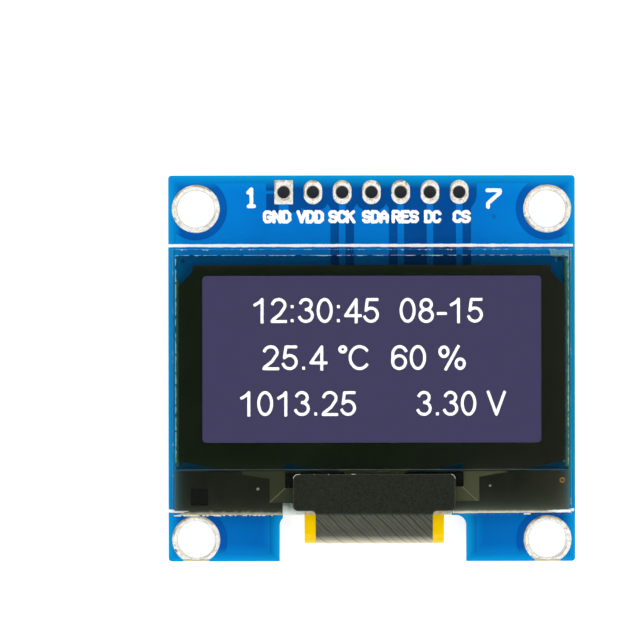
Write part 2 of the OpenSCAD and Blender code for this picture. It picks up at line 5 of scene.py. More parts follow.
import bmesh
import bpy
import numpy as np
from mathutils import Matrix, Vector


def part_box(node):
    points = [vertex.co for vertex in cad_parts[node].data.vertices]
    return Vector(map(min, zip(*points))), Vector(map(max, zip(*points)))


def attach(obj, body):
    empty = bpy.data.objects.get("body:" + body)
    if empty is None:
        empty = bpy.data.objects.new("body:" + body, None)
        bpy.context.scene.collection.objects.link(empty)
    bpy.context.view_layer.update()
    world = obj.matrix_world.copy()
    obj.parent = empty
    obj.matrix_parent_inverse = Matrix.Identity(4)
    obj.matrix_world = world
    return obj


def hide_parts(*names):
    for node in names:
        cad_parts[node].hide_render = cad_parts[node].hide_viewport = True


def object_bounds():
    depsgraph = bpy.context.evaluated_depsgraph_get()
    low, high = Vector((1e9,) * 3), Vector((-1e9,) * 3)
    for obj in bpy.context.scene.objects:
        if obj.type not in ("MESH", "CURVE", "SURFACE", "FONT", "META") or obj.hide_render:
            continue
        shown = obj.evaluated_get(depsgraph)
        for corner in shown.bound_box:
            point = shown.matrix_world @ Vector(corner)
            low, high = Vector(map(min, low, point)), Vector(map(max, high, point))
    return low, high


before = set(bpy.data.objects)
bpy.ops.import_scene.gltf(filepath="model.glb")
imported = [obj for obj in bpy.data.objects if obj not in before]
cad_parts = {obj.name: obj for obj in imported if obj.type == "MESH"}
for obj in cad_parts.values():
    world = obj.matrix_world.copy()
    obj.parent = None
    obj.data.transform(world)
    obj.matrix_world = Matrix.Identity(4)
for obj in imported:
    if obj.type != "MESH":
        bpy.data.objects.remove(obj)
cad_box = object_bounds()

MM = 0.001
TURN = 2 * math.pi
# spacing of the points that a thin outline is cut from
FINE, COARSE = 0.035, 0.045
# points this close, in metres, are one, faces this near to level are one, and edges this sharp stay sharp
MERGE, LEVEL, SHARP = 1e-7, 0.02, math.radians(60)


# ---------- Places, in millimetres, read from the CAD pieces ----------

def span(node):
    """Lowest and highest corner of a CAD piece."""
    lo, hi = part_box(node)
    return Vector(lo) / MM, Vector(hi) / MM


board_lo, board_hi = span("printed_board")
glass_lo, glass_hi = span("substrate_glass")
film_lo, film_hi = span("polarizer")
lit_lo, lit_hi = span("emitter_layer")
spacer_lo, spacer_hi = span("ledge_spacer")
shield_lo, shield_hi = span("shield_tape")
chip_lo, chip_hi = span("driver_chip")
cap_lo, cover_lo = span("cap_glass")[0], span("flex_cover")[0]
copper_top, flex_top = span("front_copper")[1].z, span("flex_film")[1].z
field_top = span("cathode_layer")[1].y
# the film's right edge, the notch in the board, the slot beyond it and the flex circuit's sides
FILM_RIGHT = film_hi.x - 0.17
NOTCH_LEFT, NOTCH_RIGHT, NOTCH_TOP = -8.0, 8.2, glass_lo.y - 0.07
SLOT_RIGHT = 6.925
FOLD_LEFT, FOLD_RIGHT = -5.85, 6.25
# mounting holes: distance from the middle of the board, radius inside the plating; header holes: radius
HOLE_X, HOLE_R, HEADER_R = 15.25, 1.6, 0.53


# ---------- Shapes ----------

def linear(code):
    """An sRGB hex colour as the linear colour that a shader takes."""
    parts = [int(code[i:i + 2], 16) / 255 for i in (1, 3, 5)]
    return [c / 12.92 if c <= 0.04045 else ((c + 0.055) / 1.055) ** 2.4 for c in parts] + [1.0]


def put_on(mesh, replaces=()):
    """Makes a mesh a piece that rides on the module."""
    made = bpy.data.objects.new(mesh.name, mesh)
    bpy.context.scene.collection.objects.link(made)
    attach(made, "root")
    if replaces:
        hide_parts(*replaces)
    return made


def piece(name, points, faces, material, smooth=False, replaces=()):
    """A piece from points in millimetres."""
    mesh = bpy.data.meshes.new(name)
    mesh.from_pydata([Vector(p) * MM for p in points], [], faces)
    mesh.materials.append(material)
    mesh.polygons.foreach_set("use_smooth", [smooth] * len(mesh.polygons))
    return put_on(mesh, replaces)


def ripple(x, y, cell, seed):
    """Smooth noise between -1 and 1 over the plane, about one bump per cell."""
    grid = np.random.default_rng(seed).uniform(-1, 1, (64, 64))
    u, v = np.asarray(x) / cell, np.asarray(y) / cell
    i, j = np.floor(u).astype(int), np.floor(v).astype(int)
    fu, fv = u - i, v - j
    fu, fv = fu * fu * (3 - 2 * fu), fv * fv * (3 - 2 * fv)
    near = grid[i % 64, j % 64] * (1 - fu) + grid[(i + 1) % 64, j % 64] * fu
    far = grid[i % 64, (j + 1) % 64] * (1 - fu) + grid[(i + 1) % 64, (j + 1) % 64] * fu
    return near * (1 - fv) + far * fv


def laid(name, distance, x_span, y_span, step, z_base, z_top, material, rise=0.0, replaces=()):
    """A closed layer over every place where distance(x, y) is below zero, crowned towards its middle
    over rise."""
    xs = np.arange(x_span[0], x_span[1] + step, step)
    ys = np.arange(y_span[0], y_span[1] + step, step)
    depth = distance(*np.meshgrid(xs, ys, indexing="ij"))
    # the outline closes before the grid ends, and keeps clear of the grid's own points
    just_outside, clear = 1e-4, 0.02
    depth[[0, -1], :] = np.maximum(depth[[0, -1], :], just_outside)
    depth[:, [0, -1]] = np.maximum(depth[:, [0, -1]], just_outside)
    points, seen, tops = [], {}, []

    def height(d):
        if rise <= 0:
            return z_top
        share, shoulder = min(1.0, max(0.0, -d / rise)), 0.35
        return z_base + (z_top - z_base) * (shoulder + (1 - shoulder) * math.sqrt(share * (2 - share)))

    def point(a, b):
        """A point of the grid, or the place between two of them where the outline crosses."""
        key = (a, b) if a < b else (b, a)
        if key not in seen:
            (i, j), (k, m) = key
            t = 0.0
            if a != b:
                t = min(max(depth[i, j] / (depth[i, j] - depth[k, m]), clear), 1 - clear)
            seen[key] = len(points)
            points.append((xs[i] + (xs[k] - xs[i]) * t, ys[j] + (ys[m] - ys[j]) * t,
                           height(depth[i, j] if a == b else 0.0)))
        return seen[key]

    inner = depth < 0
    live = inner[:-1, :-1] | inner[1:, :-1] | inner[:-1, 1:] | inner[1:, 1:]
    for i, j in zip(*np.nonzero(live)):
        ring = [(i, j), (i + 1, j), (i + 1, j + 1), (i, j + 1)]
        face = []
        for a, b in zip(ring, ring[1:] + ring[:1]):
            if inner[a]:
                face.append(point(a, a))
            if inner[a] != inner[b]:
                face.append(point(a, b))
        tops.append(face)
    if rise <= 0:
        tops, points = flattened(tops, points)
    count = len(points)
    points += [(x, y, z_base) for x, y, _ in points]
    faces = tops + [[i + count for i in reversed(face)] for face in tops]
    faces += [[b, a, a + count, b + count] for a, b in open_edges(tops)]
    made = piece(name, points, faces, material, smooth=rise > 0, replaces=replaces)
    made.data.set_sharp_from_angle(angle=SHARP)


def open_edges(faces):
    """The edges that only one face has, in the order that its face runs."""
    rim = {}
    for face in faces:
        for a, b in zip(face, face[1:] + face[:1]):
            if (b, a) in rim:
                del rim[b, a]
            else:
                rim[a, b] = True
    return rim


def flattened(tops, points):
    """The same flat outline in as few faces as it needs."""
    work = bmesh.new()
    verts = [work.verts.new(p) for p in points]
    for face in tops:
        work.faces.new([verts[i] for i in face])
    bmesh.ops.dissolve_limit(work, angle_limit=LEVEL, verts=work.verts, edges=work.edges)
    bmesh.ops.triangulate(work, faces=work.faces)
    work.verts.ensure_lookup_table()
    work.verts.index_update()
    tops = [[v.index for v in f.verts] for f in work.faces]
    points = [tuple(v.co) for v in work.verts]
    work.free()
    return tops, points


def near_strokes(strokes, width, ragged, seed, square=False):
    """Distance to the edge of pen strokes of one width, with round or square ends and a slightly
    ragged edge."""
    notches = 0.11

    def distance(x, y):
        best = np.full(x.shape, 1e9)
        for stroke in strokes:
            open_ended = square and math.dist(stroke[0], stroke[-1]) > 1e-6
            for k, ((ax, ay), (bx, by)) in enumerate(zip(stroke, stroke[1:])):
                long = max(math.hypot(bx - ax, by - ay), 1e-6)
                ux, uy = (bx - ax) / long, (by - ay) / long
                along = (x - ax) * ux + (y - ay) * uy
                across = np.abs((x - ax) * uy - (y - ay) * ux)
                beyond = np.maximum(np.maximum(-along, along - long), 0)
                first, last = open_ended and k == 0, open_ended and k == len(stroke) - 2
                flat = (along < 0) & first | (along > long) & last
                reach = np.where(flat, np.maximum(beyond, across), np.hypot(beyond, across))
                best = np.minimum(best, reach)
        return best - width / 2 + ragged * ripple(x, y, notches, seed)
    return distance


def prism(name, outline, z_base, z_top, material, replaces=()):
    """A flat piece with one closed outline."""
    n = len(outline)
    points = [(x, y, z) for z in (z_base, z_top) for x, y in outline]
    faces = [list(reversed(range(n))), list(range(n, 2 * n))]
    faces += [[i, (i + 1) % n, (i + 1) % n + n, i + n] for i in range(n)]
    piece(name, points, faces, material, replaces=replaces)


def dot(name, x, y, z, outer, inner, material):
    """A flat disc or ring."""
    turns, thick, points, faces = 24, 0.006, [], []
    inner = max(inner, 0.001)
    for k in range(turns):
        c, s = math.cos(TURN * k / turns), math.sin(TURN * k / turns)
        points += [(x + inner * c, y + inner * s, z), (x + outer * c, y + outer * s, z),
                   (x + outer * c, y + outer * s, z - thick), (x + inner * c, y + inner * s, z - thick)]
    for k in range(turns):
        a, b = 4 * k, 4 * ((k + 1) % turns)
        for i in range(4):
            faces.append([a + i, a + (i + 1) % 4, b + (i + 1) % 4, b + i])
    piece(name, points, faces, material)


def corners(x0, x1, y0, y1, cut=0.0):
    """A rectangle's corners, each cut off by a short length."""
    if not cut:
        return [(x0, y0), (x1, y0), (x1, y1), (x0, y1)]
    return [(x0 + cut, y0), (x1 - cut, y0), (x1, y0 + cut), (x1, y1 - cut),
            (x1 - cut, y1), (x0 + cut, y1), (x0, y1 - cut), (x0, y0 + cut)]


def in_box(x, y, x0, x1, y0, y1):
    """Distance to a rectangle's edge, negative inside."""
    return np.maximum(np.maximum(x0 - x, x - x1), np.maximum(y0 - y, y - y1))


def rounded(x, y, half_x, half_y, radius):
    """Distance to a rectangle with rounded corners about the origin."""
    across, along = np.abs(x) - half_x + radius, np.abs(y) - half_y + radius
    outside = np.hypot(np.maximum(across, 0), np.maximum(along, 0))
    return outside + np.minimum(np.maximum(across, along), 0) - radius


def softened(node, width, angle=30):
    """A copy of a CAD piece with its sharp edges rounded, which stands for it."""
    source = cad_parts[node]
    slot = SLOTS[node]
    work = bmesh.new()
    work.from_mesh(source.data)
    bmesh.ops.remove_doubles(work, verts=work.verts, dist=MERGE)
    bmesh.ops.dissolve_limit(work, angle_limit=LEVEL, verts=work.verts, edges=work.edges)
    sharp = [e for e in work.edges if len(e.link_faces) == 2
             and e.calc_face_angle(0) > math.radians(angle)]
    bmesh.ops.bevel(work, geom=sharp, offset=width * MM, segments=2, profile=0.5,
                    affect="EDGES", clamp_overlap=True)
    bmesh.ops.triangulate(work, faces=work.faces)
    mesh = bpy.data.meshes.new(node + "_soft")
    work.to_mesh(mesh)
    work.free()
    mesh.materials.append(FINISHES[slot])
    mesh.shade_smooth()
    mesh.set_sharp_from_angle(angle=math.radians(50))
    put_on(mesh, (node,))


# ---------- Finishes ----------

def add_node(tree, kind, *inputs, out=0, **settings):
    """Adds a node with its settings and its inputs, by name or in order, and gives one of its outputs.
    A word after the kind is its operation or its data type, and a hex code is a colour."""
    kind, *word = kind.split()
    node = tree.nodes.new("ShaderNode" + kind)
    if word:
        settings["data_type" if kind == "Mix" else "operation"] = word[0]
    for key, value in settings.items():
        setattr(node, key, value)
    sockets = [socket for socket in node.inputs if socket.enabled]
    if inputs and isinstance(inputs[0], dict):
        sockets, inputs = [node.inputs[key] for key in inputs[0]], inputs[0].values()
    for socket, value in zip(sockets, inputs):
        if isinstance(value, bpy.types.NodeSocket):
            tree.links.new(value, socket)
        else:
            socket.default_value = linear(value) if isinstance(value, str) else value
    outputs = {socket.name: socket for socket in node.outputs if socket.enabled}
    return outputs[out] if out in outputs else list(outputs.values())[out] if outputs else node


def finished(name, finish, *choices, **more):
    """A material whose surface the finish builds. The finish gets add_node for the material's tree, and
    the place in millimetres as a vector and as x, y, z."""
    material = bpy.data.materials.new(name)
    material.use_nodes = True
    material.node_tree.nodes.clear()
    add = partial(add_node, material.node_tree)
    where = add("VectorMath SCALE", add("TexCoord", out="Object"), 1 / MM)
    place = add("SeparateXYZ", where).node.outputs
    add("OutputMaterial", finish(add, where, place, *choices, **more))
    return material


def board_edge(add, x, y):
    """Distance from the board's outline, its notch included."""
    middle_x, middle_y = (board_lo.x + board_hi.x) / 2, (board_lo.y + board_hi.y) / 2
    off_x = add("Math ABSOLUTE", add("Math SUBTRACT", x, middle_x))
    off_y = add("Math ABSOLUTE", add("Math SUBTRACT", y, middle_y))
    side = add("Math SUBTRACT", board_hi.x - middle_x, off_x)
    end = add("Math SUBTRACT", board_hi.y - middle_y, off_y)
    notch_x = add("Math SUBTRACT", x, (NOTCH_LEFT + NOTCH_RIGHT) / 2)
    across = add("Math SUBTRACT", add("Math ABSOLUTE", notch_x), (NOTCH_RIGHT - NOTCH_LEFT) / 2)
    above = add("Math SUBTRACT", y, NOTCH_TOP)
    notch = add("Math MAXIMUM", across, above)
    return add("Math MINIMUM", add("Math MINIMUM", side, end), notch)


def solder_mask(add, where, place, plain, deep, glow, reach, gloss, lower):
    """Screen-printed epoxy solder mask, cured: an even, half-glossy blue coat, brighter where daylight
    creeps in from the laminate's edge, with the faint weave of the glass cloth under it."""
    x, y, z = place
    edge = board_edge(add, x, y)
    lit = add("MapRange", edge, reach[0], reach[1], reach[2], 0.0)
    # glass cloth, threads 0.45 mm apart
    warp = add("Math SINE", add("Math MULTIPLY", x, TURN / 0.45))
    weft = add("Math SINE", add("Math MULTIPLY", y, TURN / 0.45))
    cloth = add("Math MULTIPLY", warp, weft)
    cloud = add("TexNoise", {"Vector": where, "Scale": 1 / 3.0, "Detail": 4.0})
    grain = add("TexNoise", {"Vector": where, "Scale": 1 / 0.12, "Detail": 2.0})
    shade = add("Math MULTIPLY", cloud, 0.7)
    shade = add("Math MULTIPLY_ADD", grain, 0.3, shade)
    shade = add("Math MULTIPLY_ADD", cloth, 0.05, shade)
    # less light comes through the middle of the board than near the mounting holes
    sideways = add("Math ABSOLUTE", x)
    shade = add("Math ADD", shade, add("MapRange", sideways, 9.5, 12.5, 0.25, -0.25))
    base = add("Mix RGBA", shade, plain, deep)
    # less again through the two tabs at the foot
    tabs = add("MapRange", y, -11.8, -13.0, 0.0, lower)
    base = add("Mix RGBA", tabs, base, "#004a90")
    # and painted shade, darker and greener, at the foot of the display under the glass
    low = add("Math ABSOLUTE", add("Math SUBTRACT", y, cap_lo.y + 0.9))
    base = add("Mix RGBA", add("MapRange", low, 1.0, 1.6, 0.5, 0.0), base, "#2a6a86")
    # beside the display the light comes through greenish glass
    beside = add("MapRange", add("Math ABSOLUTE", y), 9.0, 12.0, 1.0, 0.0)
    greenish = add("Mix RGBA", add("MapRange", x, -10.0, 10.0), "#009cdc", "#009cbf")
    creep = add("Mix RGBA", beside, glow, greenish)
    coat = add("Mix RGBA", lit, base, creep)
    # bare cut edge of the laminate: pale resin with layers of glass cloth 0.17 mm apart
    facing = add("SeparateXYZ", add("NewGeometry", out="True Normal"), out=2)
    upright = add("Math LESS_THAN", add("Math ABSOLUTE", facing), 0.5)
    level = add("Math SINE", add("Math MULTIPLY", z, TURN / 0.17))
    drawn = add("VectorMath MULTIPLY", where, (4.0, 4.0, 14.0))
    fibre = add("TexNoise", {"Vector": drawn, "Scale": 1.0, "Detail": 4.0})
    layer = add("Math MULTIPLY_ADD", level, 0.16, fibre)
    resin = add("Mix RGBA", layer, "#8f8b62", "#ddd9b4")
    # the coat stops short of the edge below the lower mounting holes
    below = add("Math LESS_THAN", y, board_lo.y + 0.18)
    from_hole = add("Math SUBTRACT", add("Math ABSOLUTE", x), HOLE_X)
    near_hole = add("Math LESS_THAN", add("Math ABSOLUTE", from_hole), 1.12)
    strip = add("Math MULTIPLY", below, near_hole)
    bare = add("Math MAXIMUM", upright, strip)
    colour = add("Mix RGBA", bare, coat, resin)
    dents = add("TexNoise", {"Vector": where, "Scale": 1 / 0.25, "Detail": 3.0})
    dents = add("Math MULTIPLY_ADD", cloth, 0.3, dents)
    return add("BsdfPrincipled", {
        "Base Color": colour, "IOR": 1.5, "Specular IOR Level": 0.28,
        "Roughness": add("MapRange", bare, 0.0, 1.0, gloss, 0.75),
        "Normal": add("Bump", {"Height": dents, "Distance": 0.004 * MM})})


def levelled_tin(add, where, place):
    """Copper dipped in solder and blown level: a bright, wavy grey metal with dull grains and fine
    scratches."""
    patch = add("TexNoise", {"Vector": where, "Scale": 1 / 0.4, "Detail": 4.0, "Roughness": 0.65})
    grain = add("TexNoise", {"Vector": where, "Scale": 1 / 0.07, "Detail": 3.0, "Roughness": 0.7})
    drawn = add("VectorMath MULTIPLY", where, (9.0, 1.2, 1.0))
    scratch = add("TexNoise", {"Vector": drawn, "Scale": 1.0, "Detail": 3.0, "Roughness": 0.7})
    height = add("Math MULTIPLY_ADD", grain, 0.6, patch)
    share = add("MapRange", height, 0.58, 0.86)
    bright = add("Mix RGBA", share, "#c4bda8", "#fffdf6")
    scored = add("MapRange", scratch, 0.60, 0.70, 0.0, 0.5)
    colour = add("Mix RGBA", scored, bright, "#7d7462")
    return add("BsdfPrincipled", {
        "Base Color": colour, "Metallic": 0.4, "Roughness": add("MapRange", height, 0.6, 1.0, 0.42, 0.2),
        "Normal": add("Bump", {"Height": height, "Distance": 0.06 * MM})})


def let_light_by(add, glass, tint):
    """A see-through finish that lamps and scattered light pass straight, without bending."""
    paths = add("LightPath").node.outputs
    clear = add("BsdfTransparent", tint)
    lamps = add("MixShader", paths["Is Shadow Ray"], glass, clear)
    return add("MixShader", paths["Is Diffuse Ray"], lamps, clear)


def display_glass(add, where, place):
    """Soda-lime float glass, scribed and snapped: clear, faintly green, frosted where it was cut."""
    facing = add("SeparateXYZ", add("NewGeometry", out="True Normal"), out=2)
    cut = add("Math LESS_THAN", add("Math ABSOLUTE", facing), 0.5)
    # the foot broke almost clean
    clean = add("MapRange", place[1], glass_lo.y + 0.01, glass_lo.y + 0.02, 0.3, 1.0)
    cut = add("Math MULTIPLY", cut, clean)
    wave = add("TexNoise", {"Vector": where, "Scale": 1 / 8.0, "Detail": 1.0})
    clear = add("BsdfPrincipled", {
        "Base Color": "#f4faf8", "Transmission Weight": 1.0, "Roughness": 0.0, "IOR": 1.5,
        "Normal": add("Bump", {"Height": wave, "Distance": 0.002 * MM})})
    # ribs left by the scribing wheel, 0.15 mm apart
    drawn = add("VectorMath MULTIPLY", where, (7.0, 7.0, 1.5))
    rib = add("TexNoise", {"Vector": drawn, "Scale": 1.0, "Detail": 3.0})
    frost = add("BsdfPrincipled", {
        "Base Color": add("Mix RGBA", rib, "#8fa89f", "#d5e2dc"), "Transmission Weight": 0.55,
        "Roughness": 0.35, "IOR": 1.5, "Normal": add("Bump", {"Height": rib, "Distance": 0.05 * MM})})
    return let_light_by(add, add("MixShader", cut, clear, frost), "#f2f5f4")


def polarizing_film(add, where, place):
    """Stretched polarizing film, laminated: smoke-grey and clear, with a soft gloss."""
    wave = add("TexNoise", {"Vector": where, "Scale": 1 / 5.0, "Detail": 2.0})
    film = add("BsdfPrincipled", {
        "Base Color": "#b4b9b2", "Transmission Weight": 1.0, "Roughness": 0.0, "IOR": 1.48,
        "Normal": add("Bump", {"Height": wave, "Distance": 0.002 * MM})})
    return let_light_by(add, film, "#d6d9d4")


def dark_field(add, where, place):
    """Evaporated metal behind glass, seen through the polarizer: a green-black, drawn lighter and greyer
    towards the right and olive-brown along its upper edge.
    """
    x, y, _ = place
    cloud = add("TexNoise", {"Vector": where, "Scale": 1 / 4.0, "Detail": 4.0})
    top = add("MapRange", y, field_top - 0.45, field_top, 0.0, 0.6)
    black = add("Mix RGBA", cloud, "#2b3427", "#3e4838")
    black = add("Mix RGBA", add("MapRange", x, 2.0, 16.0, 0.0, 0.8), black, "#4b4943")
    colour = add("Mix RGBA", top, black, "#54503a")
    return add("BsdfPrincipled", {"Base Color": colour, "Roughness": 0.4, "Specular IOR Level": 0.0})


def organic_glow(add, where, place, code, strength, contrast):
    """Organic light-emitting layer, lit: an even glow in 128 columns and 64 rows."""
    x, y, _ = place
    columns, rows = TURN * 128 / (lit_hi.x - lit_lo.x), TURN * 64 / (lit_hi.y - lit_lo.y)
    column = add("Math COSINE", add("Math MULTIPLY", x, columns))
    row = add("Math COSINE", add("Math MULTIPLY", y, rows))
    grid = add("Math ADD", column, row)
    level = add("Math MULTIPLY_ADD", grid, contrast * strength / 2, strength)
    return add("Emission", {"Color": code, "Strength": level})


def mottled(add, where, place, low, high, roughness, size, depth=0.0, **more):
    """A plain moulded, printed or plated surface whose colour and gloss drift over patches of one size."""
    patch = add("TexNoise", {"Vector": where, "Scale": 1 / size, "Detail": 4.0, "Roughness": 0.6})
    share = add("MapRange", patch, 0.3, 0.7)
    inputs = {"Base Color": add("Mix RGBA", share, low, high),
              "Roughness": add("MapRange", share, 0.0, 1.0, roughness * 1.15, roughness * 0.85)}
    inputs.update({key.replace("_", " "): value for key, value in more.items()})
    if depth:
        inputs["Normal"] = add("Bump", {"Height": patch, "Distance": depth * MM})
    return add("BsdfPrincipled", inputs)


def brightening(add, where, place, axis, dark_at, light_at, dark, light):
    """A film in or under the glass, with painted light that grows towards its open edge: cloudy, and paler
    that way."""
    cloud = add("TexNoise", {"Vector": where, "Scale": 1 / 0.35, "Detail": 3.0})
    along = add("MapRange", place[axis], dark_at, light_at)
    share = add("Math MULTIPLY_ADD", add("Math SUBTRACT", cloud, 0.5), 0.7, along)
    colour = add("Mix RGBA", share, dark, light)
    return add("BsdfPrincipled", {
        "Base Color": colour, "Roughness": 0.45, "IOR": 1.5, "Specular IOR Level": 0.2})


def ledge_black(add, where, place):
    """Black foam under the glass ledge, with daylight creeping in past the cut edges."""
    x, y, _ = place
    left = add("Math SUBTRACT", x, spacer_lo.x)
    right = add("Math SUBTRACT", spacer_hi.x, x)
    side = add("Math MINIMUM", left, right)
    foot = add("Math SUBTRACT", y, spacer_lo.y)
    past_side = add("Math EXPONENT", add("Math MULTIPLY", side, -1 / 0.32))
    near = add("Math EXPONENT", add("Math MULTIPLY", foot, -1 / 0.12))
    far = add("Math EXPONENT", add("Math MULTIPLY", foot, -1 / 0.6))
    # the right half of the foot takes in more light than the left
    near = add("Math MULTIPLY", near, add("MapRange", x, -6.0, 6.0, 0.06, 0.27))
    milk = add("Math MULTIPLY_ADD", far, add("MapRange", x, -6.0, 6.0, 0.04, 0.13), near)
    patch = add("TexNoise", {"Vector": where, "Scale": 1 / 1.2, "Detail": 4.0})
    black = add("Mix RGBA", patch, "#12150b", "#22241a")
    warm = add("MapRange", x, 12.5, 17.0, 0.0, 0.10)
    black = add("Mix RGBA", warm, black, "#8c7a5c")
    edged = add("Mix RGBA", add("Math MULTIPLY", past_side, 0.55), black, "#5f8a8c")
    colour = add("Mix RGBA", milk, edged, "#b6bcab")
    return add("BsdfPrincipled", {"Base Color": colour, "Roughness": 0.7, "Specular IOR Level": 0.1})


def trace_bundle(add, where, place):
    """Etched molybdenum lines on glass, too fine to tell apart: an olive-grey sheen that turns at the
    mitre."""
    x, y, _ = place
    from_middle = add("Math SUBTRACT", x, (chip_lo.x + chip_hi.x) / 2)
    out_x = add("Math SUBTRACT", add("Math ABSOLUTE", from_middle), (chip_hi.x - chip_lo.x) / 2 + 0.08)
    down = add("Math SUBTRACT", chip_lo.y + 0.07, y)
    turn = add("Math GREATER_THAN", add("Math MULTIPLY", down, 1.08), out_x)
    # lines drawn 0.11 mm apart, coarser than the real ones so that they show
    upright = add("Math SINE", add("Math MULTIPLY", x, TURN / 0.11))
    level = add("Math SINE", add("Math MULTIPLY", y, TURN / 0.11))
    lines = add("Mix FLOAT", turn, upright, level)
    shade = add("Math MULTIPLY_ADD", lines, 0.15, 0.5)
    # the painted sheen is lighter towards the right
    shade = add("Math ADD", shade, add("MapRange", x, -8.0, 8.0, -0.35, 0.45))
    olive = add("Mix RGBA", shade, "#292b14", "#4f4d34")
    darker = add("Math MULTIPLY", turn, 0.15)
    colour = add("Mix RGBA", darker, olive, "#2c2f1c")
    # a painted highlight along the mitre
    mitre = add("Math SUBTRACT", add("Math MULTIPLY", down, 1.08), out_x)
    seam = add("MapRange", add("Math ABSOLUTE", mitre), 0.02, 0.09, 0.8, 0.0)
    colour = add("Mix RGBA", seam, colour, "#77765a")
    return add("BsdfPrincipled", {"Base Color": colour, "Roughness": 0.45, "Specular IOR Level": 0.3})


def cover_film(add, where, place):
    """Grey-brown cover film laminated over copper tracks that run slantwise: broad dull bands between
    dark gaps."""
    x, y, z = place
    radius = (flex_top - cover_lo.z) / 2
    axis_y, axis_z = cover_lo.y + radius, flex_top - radius
    # how far along the film, measured round the fold from where it starts to bend
    behind = add("Math SUBTRACT", axis_y, y)
    above = add("Math SUBTRACT", z, axis_z)
    around = add("Math MAXIMUM", add("Math", behind, above, operation="ARCTAN2"), 0.0)
    bent = add("Math MULTIPLY", around, radius)
    straight = add("Math MAXIMUM", add("Math SUBTRACT", y, axis_y), 0.0)
    way = add("MapRange", above, -0.01, 0.01, 1.0, -1.0)
    along = add("Math MULTIPLY_ADD", straight, way, bent)
    slant = add("Math MULTIPLY_ADD", along, -1.0, x)
    wander = add("TexNoise", {"Vector": where, "Scale": 1 / 1.6, "Detail": 1.0})
    slant = add("Math MULTIPLY_ADD", wander, 0.38, slant)
    cycle = add("Math FRACT", add("Math DIVIDE", slant, 1.38))
    off = add("Math ABSOLUTE", add("Math SUBTRACT", cycle, 0.5))
    gap = add("MapRange", off, 0.02, 0.05, 0.9, 0.0)
    # twice as many gaps on the right, where the tracks turn
    between = add("Math SUBTRACT", add("Math FRACT", add("Math ADD", cycle, 0.5)), 0.5)
    second = add("MapRange", add("Math ABSOLUTE", between), 0.02, 0.05, 0.8, 0.0)
    second = add("Math MULTIPLY", second, add("MapRange", x, 0.8, 2.6))
    gap = add("Math MAXIMUM", gap, second)
    # tracks 0.46 mm apart between the gaps, drawn coarser than the real ones so that they show
    third = add("Math SINE", add("Math MULTIPLY", slant, TURN / 0.46))
    thread = add("MapRange", third, 0.55, 0.95, 0.0, 0.75)
    patch = add("TexNoise", {"Vector": where, "Scale": 1 / 0.6, "Detail": 4.0})
    drawn = add("VectorMath MULTIPLY", where, (1.0, 3.0, 1.0))
    cloud = add("TexNoise", {"Vector": drawn, "Scale": 1 / 1.1, "Detail": 3.0})
    grey = add("Mix RGBA", patch, "#474c45", "#6a6e66")
    cloudy = add("Mix RGBA", add("MapRange", cloud, 0.4, 0.65, 0.0, 0.65), grey, "#5b5a40")
    striped = add("Mix RGBA", thread, cloudy, "#463e28")
    # painted shade: a little darker just before the fold
    dull = add("MapRange", y, axis_y + 1.3, axis_y + 0.2, 0.0, 0.4)
    striped = add("Mix RGBA", dull, striped, "#2f3024")
    colour = add("Mix RGBA", gap, striped, "#1b2829")
    # light from behind shows through the film at the fold
    glow = add("MapRange", around, 0.33, 1.28, 0.0, 1.0)
    past = add("MapRange", around, 1.3, 2.0, 1.0, 0.0, interpolation_type="SMOOTHSTEP")
    glow = add("Math MULTIPLY", glow, past)
    shine = add("Math MULTIPLY", glow, add("Math SUBTRACT", 1.0, add("Math MULTIPLY", gap, 0.75)))
    colour = add("Mix RGBA", shine, colour, "#ddd4b8")
    return add("BsdfPrincipled", {
        "Base Color": colour, "Roughness": 0.42, "IOR": 1.5, "Specular IOR Level": 0.35,
        "Normal": add("Bump", {"Height": add("Math SUBTRACT", 1.0, gap), "Distance": 0.012 * MM})})


MASK_BARE = finished("solder_mask_on_laminate", solder_mask, "#005cb4", "#003f80", "#0096d8",
                     (0.0, 1.15, 1.0), 0.2, 0.15)
MASK_COPPER = finished("solder_mask_on_copper", solder_mask, "#007cd0", "#006cc0", "#008ad4",
                       (0.75, 1.5, 0.4), 0.18, 0.45)
# the coat is thinner down the sides of the copper, and paler, with a painted highlight along the rim
MASK_SLOPE = finished("solder_mask_slope", mottled, "#0070c4", "#067bcc", 0.4, 0.4, Specular_IOR_Level=0.05)
TIN = finished("hot_air_levelled_tin", levelled_tin)
# inside the holes the plating is drawn darker and duller
BARREL = finished("plated_barrel", mottled, "#6f6c64", "#a19d92", 0.4, 0.3, 0.006, Metallic=1.0)
# flux and oxide baked on at the rims of the tinned lands, laid on one side of each land as painted shade
STAIN_AND_SHADE = finished("flux_stained_tin", mottled, "#7d6444", "#efe6d0", 0.45, 0.9, 0.01)
# etched copper behind glass: brown, with a soft metal sheen
COPPER = finished("etched_copper", mottled, "#5e3a16", "#b07430", 0.4, 0.1)
# etched metal dots on glass: greenish grey, and smoky blue where the board shows through
MARK = finished("etched_mark", mottled, "#5a6454", "#a4aa98", 0.5, 0.06)
SMOKE = finished("etched_chrome_mark", mottled, "#17324a", "#1f4260", 0.4, 0.1)
# solder mask drawn thin over a via: a small darker ring
VIA = finished("tented_via", mottled, "#0a3a72", "#164f8c", 0.3, 0.1)
GLASS = finished("float_glass", display_glass)
FILM = finished("polarizing_film", polarizing_film)
CATHODE = finished("evaporated_cathode", dark_field)
GLOW = finished("organic_glow", organic_glow, "#453e62", 2.5, 0.03)
LETTER_GLOW = finished("organic_glow_white", organic_glow, "#fff7ff", 3.0, 0.02)
LEDGE = finished("black_ledge_foam", ledge_black)
TRACES = finished("etched_molybdenum", trace_bundle)
COVER = finished("cover_film_over_tracks", cover_film)
# polyimide base film, cast: clear amber that looks yellow with light behind it
POLYIMIDE = finished("polyimide_film", mottled, "#e7bd00", "#f0c600", 0.15, 0.8, 0.004, IOR=1.6,
                     Specular_IOR_Level=0.1)
